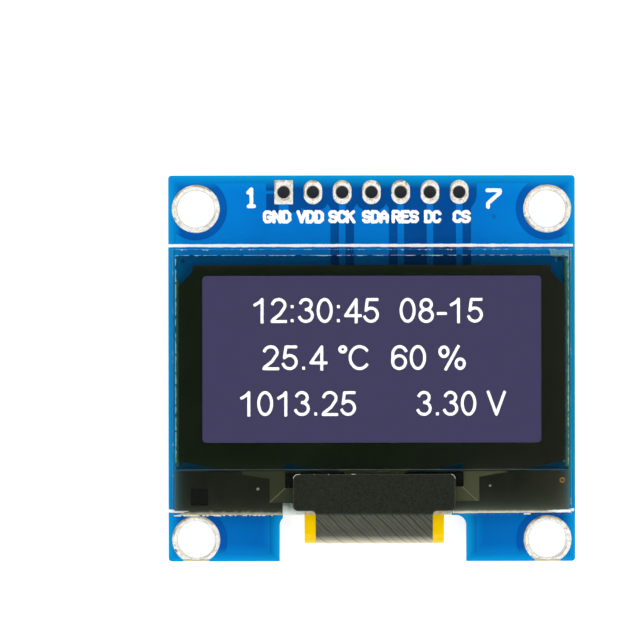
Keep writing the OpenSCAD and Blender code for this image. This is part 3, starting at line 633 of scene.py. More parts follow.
# screen-printed epoxy ink, cured: matt, opaque white
SILK = finished("white_silkscreen_ink", mottled, "#fbfcfc", "#ffffff", 0.6, 0.3, 0.006,
                Specular_IOR_Level=0.3)
SHIELD = finished("black_polyester_tape", mottled, "#13170f", "#2b3027", 0.3, 0.14, 0.008,
                  Specular_IOR_Level=0.22)
# painted glint: thin pale arcs at the tape's upper corners and specks along its top edge
TAPE_GLINT = finished("painted_glint_on_tape", mottled, "#8b9186", "#f2f6ee", 0.3, 0.2)
# sawn and polished silicon: near black, and glassy
SILICON = finished("polished_silicon", mottled, "#0a0c08", "#11130d", 0.2, 2.0, Specular_IOR_Level=0.5)
# slit foam tape: matt light grey, with fine pores
FOAM = finished("acrylic_foam_tape", mottled, "#9a9d98", "#c2c5c0", 0.7, 0.15, 0.02)
# drying powder pressed to a sheet: chalky mid grey
GETTER = finished("pressed_getter", mottled, "#6d6f6c", "#8a8c88", 0.8, 0.1, 0.01)
# heat-pressed bonding film: cloudy cream over amber
BOND = finished("bonding_film", mottled, "#e0a96c", "#ffeedd", 0.4, 0.3, 0.004)
# transfer-moulded epoxy: dull charcoal with a fine grain
EPOXY = finished("moulded_epoxy", mottled, "#15161a", "#24262b", 0.55, 0.08, 0.008)
# electroplated tin: pale, satin metal
TIN_PLATE = finished("plated_tin", mottled, "#9fa09c", "#d8d8d2", 0.38, 0.12, 0.006, Metallic=1.0)
# solder melted and set: brighter than the plating, with a smooth gloss
SOLDER = finished("reflowed_solder", mottled, "#a8aaa8", "#e4e4de", 0.25, 0.3, 0.01, Metallic=1.0)
# fired barium titanate: an even, matt tan
CERAMIC = finished("fired_ceramic", mottled, "#8a6a4c", "#a98762", 0.5, 0.25, 0.006)
# glass glaze over a printed resistor: black and shiny
GLAZE = finished("resistor_glaze", mottled, "#0f1012", "#1d1f22", 0.3, 0.3, 0.004)
# snapped glass: chips, drawn bright as painted glint
EDGE_CHIPS_AND_GLINT = finished("snapped_glass_chips_and_painted_glint", mottled, "#2f747a", "#f0ecd6", 0.4, 0.12, 0.01)
# painted reflection: a milky patch over the blue
REFLECTION_CORNER = finished("painted_reflection_corner", mottled, "#3f8fc0", "#7ab4cc", 0.5, 0.4)
# chips and crumbs along the glass's foot, drawn bright as painted glint
FOOT_CRUMBS_AND_GLINT = finished("glass_crumbs_and_painted_glint", mottled, "#b9c4b4", "#ffffff", 0.4, 0.1, 0.01)
# painted light and shade along the foot of the glass: dark under it, pale towards the open edge
FOOT_LEFT = finished("painted_light_glass_foot_left", brightening, 1, glass_lo.y + 0.30, glass_lo.y + 0.02,
                     "#2c3026", "#bcb497")
FOOT_RIGHT = finished("painted_light_glass_foot_right", brightening, 1, glass_lo.y + 0.40, glass_lo.y + 0.22,
                      "#5c5f50", "#e6ddc6")
FOOT_CORNER = finished("painted_light_glass_corner", brightening, 0, 15.0, 16.2, "#c9c5b2", "#ffffff")
# painted light and shade under the glass beside the tape, pale towards the open edge; beads of seal down
# both sides, with painted light towards their open edge
LIGHT_UNDER_GLASS_LEFT = finished("painted_light_under_glass_left", brightening, 1, glass_lo.y + 0.90, glass_lo.y + 0.10, "#6d7872",
                     "#fbfaf4")
LIGHT_UNDER_GLASS_RIGHT = finished("painted_light_under_glass_right", brightening, 1, glass_lo.y + 0.55, glass_lo.y + 0.05,
                      "#8a7450", "#ebe6da")
BEAD_LEFT = finished("seal_bead_left", brightening, 0, film_lo.x + 0.40, film_lo.x + 0.02, "#2c5048",
                     "#62aaa2")
BEAD_RIGHT = finished("seal_bead_right", brightening, 0, FILM_RIGHT - 0.35, FILM_RIGHT, "#34544c",
                      "#72d6d0")
# slit edge of the polarizing film: a pale line, darker at the foot
FILM_EDGE = finished("cut_film_edge", brightening, 1, film_lo.y + 0.2, film_lo.y + 1.2, "#474d3a",
                     "#8fa893")

FINISHES = {
    "mask_blue": MASK_BARE, "mask_over_copper": MASK_COPPER, "tinned_copper": TIN, "acrylic_tape": FOAM,
    "getter_grey": GETTER, "dark_cathode": CATHODE, "lit_screen": GLOW, "polarizer_film": FILM,
    "trace_metal": TRACES, "silicon": SILICON, "black_spacer": LEDGE, "black_tape": SHIELD,
    "bond_film": BOND, "polyimide": POLYIMIDE, "flex_cover": COVER, "moulded_epoxy": EPOXY,
    "tin_plate": TIN_PLATE, "solder": SOLDER, "capacitor_ceramic": CERAMIC, "resistor_glaze": GLAZE,
    "cap_glass": GLASS, "clear_glass": GLASS, "clear_adhesive": GLASS,
}


# ---------- Display glass ----------

def glass_block():
    """Both glasses and their clear seal, which look like one block, stepped where the cap glass ends."""
    slip = 0.002
    top, foot, under = glass_hi.z - slip, glass_lo.z + slip, cap_lo.z + slip
    profile = [(glass_lo.y, foot), (cap_lo.y, foot), (cap_lo.y, under), (glass_hi.y, under),
               (glass_hi.y, top), (glass_lo.y, top)]
    points = [(x, y, z) for x in (glass_lo.x, glass_hi.x) for y, z in profile]
    n = len(profile)
    faces = [[i, (i + 1) % n, (i + 1) % n + n, i + n] for i in range(n)]
    faces += [list(reversed(range(n))), list(range(n, 2 * n))]
    made = piece("display_glass", points, faces, GLASS,
                 replaces=("substrate_glass", "cap_glass", "panel_seal"))
    work = bmesh.new()
    work.from_mesh(made.data)
    bmesh.ops.recalc_face_normals(work, faces=work.faces)
    bmesh.ops.triangulate(work, faces=work.faces)
    work.to_mesh(made.data)
    work.free()


def snapped_edges():
    """Chips along the snapped edges of the glass, a thin ragged line bright with painted glint, and strips
    of painted light and shade along the foot."""
    inset = 0.012

    def chips(x, y):
        inside = in_box(x, y, glass_lo.x + inset, glass_hi.x - inset, glass_lo.y + inset,
                        glass_hi.y - inset)
        width = 0.06 * ripple(x, y, 0.33, 3) + 0.06 * ripple(x, y, 0.11, 5)
        # whole along the top, broken down the sides, gone along the foot
        sides = np.abs(x) > glass_hi.x - 0.4
        width = np.where(y < glass_lo.y + 0.5, -1.0, width - np.where(sides, 0.03, 0.0))
        return np.maximum(inside, -inside - np.clip(width, -1.0, 0.10))

    def foot_chips(x, y):
        # thick to the left of the mounting hole's right edge, a few crumbs beyond
        past = np.clip((x + 13.2) / 0.8, 0, 1)
        line = in_box(x, y, glass_lo.x + 0.1, NOTCH_LEFT - 0.6, glass_lo.y - 0.12 + 0.03 * past,
                      glass_lo.y + 0.01)
        fewer = -0.02 + 0.04 * past
        return np.maximum(line, 0.12 * ripple(x, y, 0.16, 33) + fewer)

    across, along = (glass_lo.x - 0.1, glass_hi.x + 0.1), (glass_lo.y - 0.15, glass_hi.y + 0.1)
    top, low = glass_hi.z - 0.004, glass_lo.z
    laid("glass_edge_chips", chips, across, along, COARSE, top - 0.026, top, EDGE_CHIPS_AND_GLINT)
    laid("glass_foot_chips", foot_chips, (across[0], NOTCH_LEFT), (along[0], along[0] + 0.5), FINE,
         low + 0.01, low + 0.04, FOOT_CRUMBS_AND_GLINT)
    # the right one climbs and widens towards the corner
    strips = [("left", -16.75, NOTCH_LEFT + 0.25, glass_lo.y, 0.0, 0.42, 0.0, FOOT_LEFT),
              ("right", SLOT_RIGHT + 0.15, glass_hi.x - 0.02, glass_lo.y + 0.12, 0.008, 0.24, 0.004,
               FOOT_RIGHT),
              ("corner", 15.2, glass_hi.x - 0.02, glass_lo.y + 0.19, 0.0, 0.20, 0.03, FOOT_CORNER)]
    for side, x0, x1, y0, climb, height, widen, finish in strips:
        def foot(x, y):
            past = x - x0
            flat = in_box(x, y - climb * past, x0, x1, y0, y0 + height + widen * past)
            if side == "left":
                # it tapers off over the white border line
                flat = np.maximum(flat, y - y0 - 0.07 - 0.3 * past)
            return flat + 0.015 * ripple(x, y, 0.6, 31) + 0.015 * ripple(x, y, 0.15, 32)
        base = low + (0.032 if side == "corner" else 0.006)
        laid(f"glass_foot_painted_light_{side}", foot, across, (y0 - 0.1, y0 + height + 0.3), COARSE, base,
             base + 0.024, finish)
    chip = [(13.13, 0.12), (13.2, -0.02), (13.3, 0.03), (13.5, 0.01), (13.72, 0.02), (13.75, 0.14)]
    prism("glass_foot_chip_right", [(x, glass_lo.y + y) for x, y in chip], low + 0.032, low + 0.05, FOOT_CRUMBS_AND_GLINT)
    # painted light and shade under the glass beside the tape, and beads of seal down both sides with
    # painted light towards their open edge
    film_under_pane("painted_light_under_glass_left",
             corners(NOTCH_LEFT + 0.27, FOLD_LEFT, glass_lo.y + 0.02, glass_lo.y + 1.02), low, LIGHT_UNDER_GLASS_LEFT)
    film_under_pane("painted_light_under_glass_right",
             corners(FOLD_RIGHT, SLOT_RIGHT, glass_lo.y + 0.02, glass_lo.y + 0.62), low, LIGHT_UNDER_GLASS_RIGHT)
    # painted reflection on the glass in the top right corner
    smear = [(15.4, 10.28), (17.1, 10.28), (17.1, 9.5), (16.9, 9.62), (15.6, 9.66)]
    film_under_pane("painted_reflection_patch", smear, cap_lo.z, REFLECTION_CORNER)
    streak = [(15.88, 9.5), (15.98, 9.55), (16.02, 9.2), (15.94, 9.18)]
    film_under_pane("painted_reflection_streak", streak, low, REFLECTION_CORNER, gap=0.01)
    film_under_pane("seal_bead_left",
             corners(film_lo.x + 0.02, film_lo.x + 0.42, film_lo.y + 0.3, film_hi.y - 2.2),
             cap_lo.z, BEAD_LEFT)
    film_under_pane("seal_bead_right",
             corners(FILM_RIGHT - 0.38, FILM_RIGHT, film_lo.y + 0.3, film_hi.y - 0.3),
             cap_lo.z, BEAD_RIGHT)


def film_under_pane(name, outline, pane, finish, gap=0.004):
    """A thin film just under a pane's lower face, for seal beads and for painted light seen under the
    glass.
    """
    prism(name, outline, pane - 0.03, pane - gap, finish)


def film_sheet():
    """The polarizing film, a little short of the glass on the right, with its pale cut edge: broken
    along the top and left, thin along the foot."""
    prism("polarizing_sheet", corners(film_lo.x, FILM_RIGHT, film_lo.y, film_hi.y, 0.08), film_lo.z,
          film_hi.z, FILM, replaces=("polarizer",))

    def rim(x, y):
        inside = in_box(x, y, film_lo.x + 0.01, FILM_RIGHT - 0.01, film_lo.y + 0.01, film_hi.y - 0.01)
        width = 0.035 + 0.05 * ripple(x, y, 0.4, 21) + 0.03 * ripple(x, y, 0.12, 22)
        width = np.where(np.abs(x) > film_hi.x - 0.5, 0.05 + 0.05 * ripple(x, y, 0.2, 24), width)
        width = np.where(y < film_lo.y + 0.3, 0.05 + 0.012 * ripple(x, y, 0.8, 23), width)
        return np.maximum(inside, -inside - width)
    laid("film_cut_edge", rim, (film_lo.x - 0.1, film_hi.x + 0.1), (film_lo.y - 0.1, film_hi.y + 0.1),
         COARSE, film_hi.z - 0.01, film_hi.z + 0.0005, FILM_EDGE)


def shield():
    """Black tape over the driver chip, with a soft rolled rim and filleted corners where it steps down."""
    mid = (shield_lo.x + shield_hi.x) / 2 - 0.02
    step_y = shield_lo.y + 0.30
    tongue = 5.08

    def outline(x, y):
        body = rounded(x - mid, y - (step_y + shield_hi.y) / 2, (shield_hi.x - shield_lo.x) / 2 - 0.02,
                       (shield_hi.y - step_y) / 2, 0.45)
        lap = rounded(x - mid, y - (shield_lo.y + step_y + 1.0) / 2, tongue,
                      (step_y + 1.0 - shield_lo.y) / 2, 0.05)
        # the two shapes run into each other with a fillet
        blend = np.maximum(0.38 - np.abs(body - lap), 0) / 0.38
        return np.minimum(body, lap) - blend * blend * 0.38 / 4 + 0.008 * ripple(x, y, 0.3, 71)
    laid("shield_tape_rolled", outline, (shield_lo.x - 0.1, shield_hi.x + 0.1),
         (shield_lo.y - 0.1, shield_hi.y + 0.1), 0.06, shield_lo.z, shield_hi.z, SHIELD,
         rise=0.12, replaces=("shield_tape",))

    # painted glints at the tape's upper corners, and a few specks along its top edge
    def glint(x, y):
        corner = np.hypot(np.abs(x - mid) - (shield_hi.x - shield_lo.x) / 2, y - shield_hi.y) - 0.42
        speck = 0.20 - 0.3 * ripple(x, y, 0.25, 72) + 3.0 * (y < shield_hi.y - 0.1)
        return np.maximum(np.abs(outline(x, y) + 0.03) - 0.018, np.minimum(corner, speck))
    laid("tape_edge_painted_glint", glint, (shield_lo.x - 0.1, shield_hi.x + 0.1),
         (shield_hi.y - 0.8, shield_hi.y + 0.1), 0.03, shield_hi.z - 0.03, shield_hi.z + 0.002, TAPE_GLINT)


def bundle_fan():
    """The middle of the trace fan, which runs from the lit area to the chip."""
    def fan(x, y):
        x = x - (chip_lo.x + chip_hi.x) / 2
        below = (cap_lo.y + 0.05) - y
        return np.maximum(np.abs(x) - 2.6 - 5.5 * np.maximum(0.16 - below, 0),
                          np.maximum(-below, below - 0.35))
    laid("trace_fan", fan, (-6, 6), (cap_lo.y - 0.5, cap_lo.y + 0.3), 0.05, glass_lo.z - 0.006,
         glass_lo.z - 0.001, TRACES)


def small_marks():
    """Alignment dots on the ledge, a copper ring, a bare square behind the glass and a via on the board."""
    under = glass_lo.z + 0.03
    # name, place, outer and inner radius
    marks = [("align_dot_left", -9.88, -10.43, 0.12, 0.0, MARK),
             ("align_dot_right", 10.23, -10.17, 0.10, 0.0, MARK),
             ("align_ring", 16.49, -9.69, 0.25, 0.10, COPPER),
             ("corner_dot_left", -16.35, 9.29, 0.17, 0.0, SMOKE),
             ("corner_dot_right", 16.3, 9.5, 0.2, 0.0, SMOKE),
             ("corner_dot_low", 16.65, -8.03, 0.11, 0.0, MARK)]
    for name, x, y, outer, inner, finish in marks:
        dot(name, x, y, under, outer, inner, finish)
    dot("via", 10.64, 13.17, copper_top + 0.004, 0.15, 0.08, VIA)
    prism("bare_square", corners(-15.68, -14.2, -11.84, -10.4), under - 0.01, under, SILICON)


# ---------- Lettering ----------

def bow(cx, cy, rx, ry, start, end, steps=14):
    """Points along an arc, with its start and end in degrees."""
    return [(cx + rx * math.cos(math.radians(start + (end - start) * i / steps)),
             cy + ry * math.sin(math.radians(start + (end - start) * i / steps))) for i in range(steps + 1)]


# Readout figures: strokes on a body 1 high, and the advance to the next figure
DIGIT = 0.68
FIGURES = {
    "0": ([bow(0.28, 0.5, 0.24, 0.48, 0, 360, 28)], DIGIT),
    "1": ([[(0.36, 0.0), (0.36, 0.98), (0.27, 0.86), (0.10, 0.74)]], DIGIT),
    "2": ([bow(0.29, 0.73, 0.23, 0.25, 165, -25)
           + [(0.33, 0.33), (0.08, 0.1), (0.04, 0.02), (0.54, 0.02)]], DIGIT),
    "3": ([bow(0.27, 0.76, 0.2, 0.22, 160, -80), bow(0.27, 0.28, 0.24, 0.26, 85, -160)], DIGIT),
    "4": ([[(0.42, 0.0), (0.42, 0.97), (0.03, 0.27), (0.57, 0.27)]], DIGIT),
    "5": ([[(0.5, 0.97), (0.15, 0.97)] + bow(0.28, 0.31, 0.24, 0.29, 140, -160)], DIGIT),
    "6": ([bow(0.29, 0.3, 0.23, 0.28, 0, 360, 24),
           [(0.06, 0.36)] + bow(0.31, 0.62, 0.25, 0.36, 165, 30)], DIGIT),
    "8": ([bow(0.28, 0.75, 0.19, 0.22, 0, 360, 22), bow(0.28, 0.27, 0.23, 0.26, 0, 360, 24)], DIGIT),
    ":": ([[(0.1, 0.05), (0.1, 0.06)], [(0.1, 0.66), (0.1, 0.67)]], 0.33),
    ".": ([[(0.1, 0.04), (0.1, 0.05)]], 0.33),
    "-": ([[(0.04, 0.36), (0.3, 0.36)]], 0.42),
    "C": ([bow(0.38, 0.5, 0.34, 0.48, 42, 318, 24)], 0.84),
    "d": ([bow(0.16, 0.86, 0.11, 0.12, 0, 360, 14)], 0.38),
    "%": ([bow(0.2, 0.75, 0.15, 0.21, 0, 360, 16), bow(0.78, 0.23, 0.15, 0.21, 0, 360, 16),
           [(0.27, 0.0), (0.71, 0.98)]], 1.0),
    "V": ([[(0.02, 0.98), (0.33, 0.02), (0.64, 0.98)]], 0.72),
    " ": ([], 0.33),
}

# Board marks: strokes on a body 1 high and 0.72 wide
MARKS = {
    "G": [[(0.66, 0.82), (0.52, 0.98), (0.2, 0.98), (0.04, 0.8), (0.04, 0.2), (0.2, 0.02), (0.52, 0.02),
           (0.66, 0.18), (0.66, 0.46), (0.42, 0.46)]],
    "N": [[(0.04, 0.0), (0.04, 1.0), (0.66, 0.0), (0.66, 1.0)]],
    "D": [[(0.04, 0.0), (0.04, 1.0), (0.42, 1.0), (0.66, 0.78), (0.66, 0.22), (0.42, 0.0), (0.04, 0.0)]],
    "V": [[(0.02, 1.0), (0.35, 0.0), (0.68, 1.0)]],
    "S": [[(0.66, 0.84), (0.52, 0.98), (0.18, 0.98), (0.04, 0.84), (0.04, 0.64), (0.18, 0.53), (0.52, 0.47),
           (0.66, 0.36), (0.66, 0.16), (0.52, 0.02), (0.18, 0.02), (0.04, 0.16)]],
    "C": [[(0.66, 0.8), (0.5, 0.98), (0.22, 0.98), (0.04, 0.8), (0.04, 0.2), (0.22, 0.02), (0.5, 0.02),
           (0.66, 0.2)]],
    "K": [[(0.04, 0.0), (0.04, 1.0)], [(0.66, 1.0), (0.06, 0.46)], [(0.26, 0.62), (0.68, 0.0)]],
    "A": [[(0.04, 0.0), (0.04, 0.62), (0.35, 1.0), (0.66, 0.62), (0.66, 0.0)],
          [(0.04, 0.36), (0.66, 0.36)]],
    "R": [[(0.04, 0.0), (0.04, 1.0), (0.5, 1.0), (0.66, 0.86), (0.66, 0.62), (0.5, 0.48), (0.04, 0.48)],
          [(0.36, 0.48), (0.68, 0.0)]],
    "E": [[(0.64, 0.0), (0.04, 0.0), (0.04, 1.0), (0.64, 1.0)], [(0.04, 0.52), (0.52, 0.52)]],
}


def readout():
    """Three lines of plain figures on the lit area."""
    cap, pen_width = 1.99, 0.25
    middle = (lit_lo.x + lit_hi.x) / 2
    # text, left end and right end from the middle of the lit area, height of the foot below its upper edge
    lines = [("12:30:45  08-15", -10.35, 9.6, 3.99), ("25.4 dC  60 %", -9.45, 7.9, 8.08),
             ("1013.25", -11.5, -1.4, 12.05), ("3.30 V", 3.9, 11.4, 12.05)]
    for number, (text, x0, x1, drop) in enumerate(lines):
        advance = sum(FIGURES[c][1] for c in text) - 0.12
        stretch = (x1 - x0) / (advance * cap)
        strokes, pen, foot = [], middle + x0, lit_hi.y - drop
        for c in text:
            shapes, step = FIGURES[c]
            strokes += [[(pen + px * cap * stretch, foot + py * cap) for px, py in stroke]
                        for stroke in shapes]
            pen += step * cap * stretch
        laid(f"readout_line_{number + 1}", near_strokes(strokes, pen_width, 0.0, 1, square=True),
             (middle + x0 - 0.3, pen + 0.3), (foot - 0.4, foot + cap + 0.4), 0.05,
             lit_hi.z + 0.001, lit_hi.z + 0.006, LETTER_GLOW)


def board_marks():
    """Silkscreen on the front: two border lines, the pins' names and the end numbers."""
    base, top = board_hi.z + 0.001, copper_top + 0.012
    header = [span(f"header_pad_{i}") for i in range(1, 8)]
    row_y = (header[0][0].y + header[0][1].y) / 2
    foot, cap, wide, pen = row_y - 2.57, 0.87, 0.62, 0.29
    # name and the x where its first and last strokes' outer edges lie, from the middle of the board
    names = [("GND", -9.46, -6.92), ("VDD", -6.52, -4.09), ("SCK", -3.78, -1.37), ("SDA", -0.86, 1.55),
             ("RES", 1.71, 4.16), ("DC", 4.52, 6.12), ("CS", 7.01, 8.65)]
    for name, x0, x1 in names:
        pitch = (x1 - x0 - pen - wide) / (len(name) - 1)
        strokes = []
        for k, letter in enumerate(name):
            start = x0 + pen / 2 + k * pitch
            strokes += [[(start + px / 0.70 * wide, foot + py * cap) for px, py in stroke]
                        for stroke in MARKS[letter]]
        laid(f"mark_{name}", near_strokes(strokes, pen, 0.02, 40), (x0 - 0.2, x1 + 0.2),
             (foot - 0.35, foot + cap + 0.35), FINE, base, top, SILK)
    high = row_y + 0.25
    one = [[(-10.42, high), (-10.42, high - 1.46)], [(-10.42, high), (-10.68, high - 0.28)],
           [(-10.65, high - 1.46), (-10.2, high - 1.46)]]
    high = row_y + 0.15
    seven = [[(10.08, high), (11.14, high), (11.14, high - 0.22), (10.12, high - 1.14),
              (10.12, high - 1.44)]]
    for name, strokes, x0 in (("one", one, -11.2), ("seven", seven, 9.6)):
        laid(f"mark_{name}", near_strokes(strokes, 0.33, 0.02, 41), (x0, x0 + 2.0),
             (row_y - 1.9, row_y + 0.7), FINE, base, top, SILK)
    # the lower ones climb a little towards the sides of the board
    border = 0.25
    lines = [("upper", board_lo.x + 0.01, board_hi.x - 0.15, glass_hi.y + 0.34, 0.0, 0.0),
             ("lower_left", board_lo.x + 0.01, NOTCH_LEFT + 0.3, glass_lo.y + 0.22, -0.045, -15.5),
             ("lower_right", SLOT_RIGHT + 0.08, board_hi.x - 0.1, glass_lo.y + 0.23, 0.0136, SLOT_RIGHT)]
    for name, x0, x1, middle, climb, start in lines:
        def distance(x, y):
            wave = 0.02 * ripple(x, y, 0.5, 51) + 0.012 * ripple(x, y, 0.12, 52)
            y = y - (climb * (x - start)).clip(0, None)
            return in_box(x, y, x0, x1, middle - border / 2, middle + border / 2) + wave
        laid(f"border_line_{name}", distance, (x0 - 0.05, x1 + 0.1), (middle - 0.3, middle + 0.45), FINE,
             base, top, SILK)


# ---------- Tinned holes ----------

def tinned_hole(node, bore, outline, seed):
    """Plated barrel with a rolled, lumpy tin land on both faces. outline(angle, middle) is how far the
    land reaches."""
    lo, hi = span(node)
    middle = Vector(((lo.x + hi.x) / 2, hole_middle_y(node, lo, hi)))
    turns, across, crest, points, faces, finish = 120, 6, 0.06, [], [], []
    bright, stain_and_shade, bore_wall = 0, 1, 2
    bore_edge, rim_edge = range(4, 6), range(9, 14)
    inset = 0.02
    # height of the tin over the board's face: by distance out from the bore, then in from the rim
    roll = [(0.0, -0.25), (0.038, -0.08), (0.046, -0.01), (0.052, 0.004), (0.10, 0.036), (0.15, 0.058)]
    rim = [(0.09, 0.056), (0.05, 0.044), (0.02, 0.026), (0.0, 0.004)]
    for k in range(turns):
        angle = TURN * k / turns
        c, s = math.cos(angle), math.sin(angle)
        reach = outline(angle, middle) - inset
        wave = 0.02 * float(ripple(9 * c, 9 * s, 1.3, seed))
        wave += 0.012 * float(ripple(30 * c, 30 * s, 1.3, seed + 1))
        start, end = bore + roll[-1][0], reach - rim[0][0]
        flat = [(start + (end - start) * i / across, crest) for i in range(1, across)]
        profile = [(bore + out, z) for out, z in roll] + flat
        profile += [(reach - inward + wave * 0.5, z) for inward, z in rim]
        ring = []
        for side, level, low in ((1, board_hi.z, 1.0), (-1, board_lo.z, 0.7)):
            half = []
            for r, z in profile:
                lump = 0.0
                if z > 0.03:
                    x, y = middle.x + r * c, middle.y + r * s
                    lump = 0.014 * float(ripple(x, y, 0.3, seed + 2))
                    lump += 0.008 * float(ripple(x, y, 0.12, seed + 3))
                half.append((r, level + side * (z + lump) * (low if z > 0 else 1.0)))
            ring += half if side > 0 else half[::-1]
        points += [(middle.x + r * c, middle.y + r * s, z) for r, z in ring]
    n = len(ring)
    for k in range(turns):
        angle = TURN * k / turns
        c, s = math.cos(angle), math.sin(angle)
        drift = 0.7 * float(ripple(5 * c, 5 * s, 1.3, seed + 4))
        # painted shade with flux stain: darker at the rim towards the upper left, and at the bore towards
        # the lower right
        at_rim, at_bore = 0.7 * (s - c) + drift > 0.25, 0.7 * (c - s) + drift > 0.75
        for i in range(n):
            this, after, j = k * n, (k + 1) % turns * n, (i + 1) % n
            faces.append([this + i, after + i, after + j, this + j])
            if i == n - 1:
                finish.append(bore_wall)
            else:
                finish.append(stain_and_shade if at_rim and i in rim_edge or at_bore and i in bore_edge else bright)
    made = piece(node + "_tin", points, faces, TIN, smooth=True, replaces=(node,))
    for other in (STAIN_AND_SHADE, BARREL):
        made.data.materials.append(other)
    made.data.polygons.foreach_set("material_index", finish)
    made.data.set_sharp_from_angle(angle=SHARP)


def hole_middle_y(node, lo, hi):
    """Middle of a hole's land, which the board's edge may cut at the bottom."""
    return hi.y - (hi.x - lo.x) / 2 if node.startswith("mounting") else (lo.y + hi.y) / 2


def round_land(radius):
    """A round land, cut off along the lower edge of the solder mask."""
    def outline(angle, middle):
        room = (board_lo.y + 0.18 - middle.y) / math.sin(angle) if math.sin(angle) < -0.2 else radius
        return min(radius, room)
    return outline


def long_land(width, length, square):
    """A rectangular land, or a long one with round ends."""
    def outline(angle, middle):
        c, s = abs(math.cos(angle)), abs(math.sin(angle))
        if square:
            return min(width / 2 / max(c, 1e-6), length / 2 / max(s, 1e-6))
        # a straight middle between two half rounds
        r, half = width / 2, length / 2 - width / 2
        if c > 1e-6 and r / c * s <= half:
            return r / c
        b = half * s
        return b + math.sqrt(max(b * b - half * half + r * r, 0))
    return outline


def tinned_holes():
    """The four mounting holes and the seven header holes."""
    for seed, corner in enumerate(("top_left", "top_right", "bottom_left", "bottom_right")):
        node = f"mounting_eyelet_{corner}"
        lo, hi = span(node)
        tinned_hole(node, HOLE_R, round_land((hi.x - lo.x) / 2), 60 + 2 * seed)
    for i in range(1, 8):
        node = f"header_pad_{i}"
        lo, hi = span(node)
        tinned_hole(node, HEADER_R, long_land(hi.x - lo.x, hi.y - lo.y, i == 1), 80 + 2 * i)


# ---------- Mask shoulders ----------

def shoulders(node, name, up):
    """The solder mask's pale slope down the side of each copper field, partly a painted highlight."""
    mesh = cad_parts[node].data
    work = bmesh.new()
    work.from_mesh(mesh)
    bmesh.ops.remove_doubles(work, verts=work.verts, dist=MERGE)
    lo, hi = span(node)
    level = hi.z if up > 0 else lo.z
    lift, run, drop = 0.003, 0.03, 0.037
    follow = {}
    for face in work.faces:
        if abs(face.calc_center_median().z / MM - level) > 0.002 or abs(face.normal.z) < 0.9:
            continue
        for loop in face.loops:
            if any(abs(f.normal.z) < 0.5 for f in loop.edge.link_faces):
                follow[loop.vert.index] = loop.link_loop_next.vert.index
    work.verts.ensure_lookup_table()
    place = {v.index: Vector((v.co.x, v.co.y)) / MM for v in work.verts}
    work.free()
    points, faces, done = [], [], set()
    for start in list(follow):
        if start in done:
            continue
        loop, at = [], start
        while at in follow and at not in done:
            done.add(at)
            loop.append(place[at])
            at = follow[at]
        if len(loop) < 3:
            continue
        base = len(points)
        for k, here in enumerate(loop):
            before, after = loop[k - 1], loop[(k + 1) % len(loop)]
            one, two = (here - before).normalized(), (after - here).normalized()
            out = Vector((one.y + two.y, -one.x - two.x)) * up
            out = out.normalized() * min(1 / max(math.sqrt((1 + one.dot(two)) / 2), 0.5), 2)
            points.append((here.x, here.y, level + lift * up))
            foot = here + out * run
            points.append((foot.x, foot.y, level - drop * up))
        count = len(loop)
        for k in range(count):
            a, b = base + 2 * k, base + 2 * ((k + 1) % count)
            faces.append([a, a + 1, b + 1, b])
    piece(name, points, faces, MASK_SLOPE, smooth=True)


# ---------- Build ----------

SLOTS = {name: node.material_slots[0].material.name.split(".")[0] for name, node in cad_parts.items()}
for name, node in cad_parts.items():
    for slot in node.material_slots:
        slot.material = FINISHES[SLOTS[name]]

glass_block()
snapped_edges()
film_sheet()
shield()
bundle_fan()
small_marks()
readout()
board_marks()
tinned_holes()
shoulders("front_copper", "front_mask_slopes", 1)
shoulders("rear_copper", "rear_mask_slopes", -1)
for name in [f"capacitor_{i}" for i in range(1, 9)] + [f"resistor_{i}" for i in range(1, 7)]:
    softened(name, 0.03)
for name in ("capacitor_terminals", "resistor_terminals", "regulator_leads", "diode_leads"):
    softened(name, 0.025)
for name in ("regulator_body", "diode_body"):
    softened(name, 0.05)


# ---------- Floor, light and camera ----------

def laminate(add, where, place):
    """White laminate, lit softly: the camera, metal and glass see it as white, and light passes up
    from below."""
    paths = add("LightPath").node.outputs
    patch = add("TexNoise", {"Vector": where, "Scale": 1 / 30.0, "Detail": 3.0})
    shade = add("Mix RGBA", patch, "#d4d4d4", "#dadada")
    seen = add("Math MAXIMUM", paths["Is Camera Ray"], paths["Is Glossy Ray"])
    seen = add("Math MAXIMUM", seen, paths["Is Transmission Ray"])
    # little light reaches the table under the middle of the board
    fade = {"interpolation_type": "SMOOTHSTEP"}
    across = add("MapRange", add("Math ABSOLUTE", place[0]), 8.4, 13.4, 1.0, 0.0, **fade)
    behind = add("MapRange", place[1], board_hi.y - 0.9, board_hi.y + 0.1, 1.0, 0.0, **fade)
    front = add("MapRange", place[1], -10.0, -5.0, 0.0, 1.0, **fade)
    gloom = add("Math MULTIPLY", add("Math MULTIPLY", across, behind), front)
    dim = add("Math MULTIPLY", add("Math MULTIPLY", gloom, 0.9), seen)
    level = add("Math MULTIPLY", seen, add("MapRange", gloom, 0.0, 1.0, 0.68, 0.0))
    level = add("Math MULTIPLY_ADD", paths["Is Diffuse Ray"], 0.5, level)
    matt = add("BsdfDiffuse", add("Mix RGBA", dim, shade, "#202020"))
    white = add("AddShader", matt, add("Emission", {"Strength": level}))
    clear = add("BsdfTransparent")
    open_to_lamps = add("MixShader", paths["Is Shadow Ray"], white, clear)
    return add("MixShader", add("NewGeometry", out="Backfacing"), open_to_lamps, clear)


def table():
    """The table that the module lies on."""
    reach, low = 4000 * MM, cad_box[0].z - 0.02 * MM
    mesh = bpy.data.meshes.new("table")
    mesh.from_pydata([(x, y, low) for x, y in corners(-reach, reach, -reach, reach)], [], [(0, 1, 2, 3)])
    mesh.materials.append(finished("white_laminate_table", laminate))
    made = bpy.data.objects.new("table", mesh)
    bpy.context.scene.collection.objects.link(made)


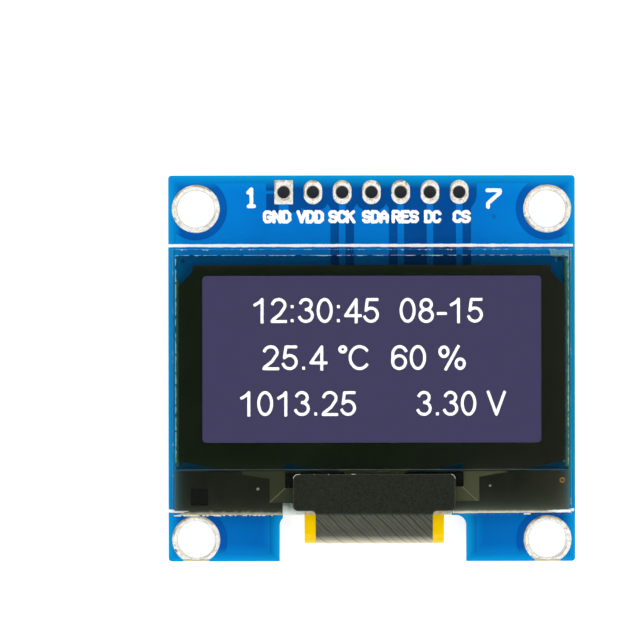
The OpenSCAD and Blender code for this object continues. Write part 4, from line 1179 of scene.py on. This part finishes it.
def studio():
    """A pale room, darker overhead so that flat glass stays clear; white where the camera looks past
    the table."""
    world = bpy.data.worlds.new("studio")
    bpy.context.scene.world = world
    world.use_nodes = True
    world.node_tree.nodes.clear()
    add = partial(add_node, world.node_tree)
    paths = add("LightPath").node.outputs
    up = add("SeparateXYZ", add("TexCoord", out="Generated"), out=2)
    room = add("MapRange", up, 0.35, 0.98, 0.80, 0.20)
    mirrored = add("MapRange", up, 0.25, 0.93, 0.95, 0.012)
    bent = add("Math MAXIMUM", paths["Is Glossy Ray"], paths["Is Transmission Ray"])
    room = add("Mix FLOAT", bent, room, mirrored)
    level = add("Mix FLOAT", paths["Is Camera Ray"], room, 1.0)
    add("OutputWorld", add("Background", {"Strength": level, "Color": (1, 1, 1, 1)}))


def lamp(name, azimuth, elevation, watts):
    """A large soft panel that faces the module, its place given in degrees round it and above it."""
    distance, size = 0.6, 0.4
    data = bpy.data.lights.new(name, "AREA")
    data.shape = "SQUARE"
    data.size = size
    data.energy = watts
    made = bpy.data.objects.new(name, data)
    a, e = math.radians(azimuth), math.radians(elevation)
    place = Vector((math.sin(a) * math.cos(e), -math.cos(a) * math.cos(e), math.sin(e))) * distance
    made.location = place
    made.rotation_euler = place.to_track_quat("Z", "Y").to_euler()
    bpy.context.scene.collection.objects.link(made)


def camera():
    """Straight above the module and a little to its left."""
    data = bpy.data.cameras.new("camera")
    data.sensor_width = 36.0
    data.lens = 291.6
    data.clip_start, data.clip_end = 0.01, 10.0
    made = bpy.data.objects.new("camera", data)
    left, back, height = -4.479, 4.195, 450
    made.location = Vector((left, back, board_hi.z + height)) * MM
    made.rotation_euler = (0, 0, math.radians(-0.08))
    bpy.context.scene.collection.objects.link(made)
    bpy.context.scene.camera = made


table()
studio()
lamp("left_panel", -75, 48, 1.0)
lamp("right_panel", 75, 48, 1.0)
lamp("front_panel", 0, 42, 0.9)
lamp("back_panel", 180, 45, 0.9)
camera()
bpy.context.scene.view_settings.view_transform = "Standard"
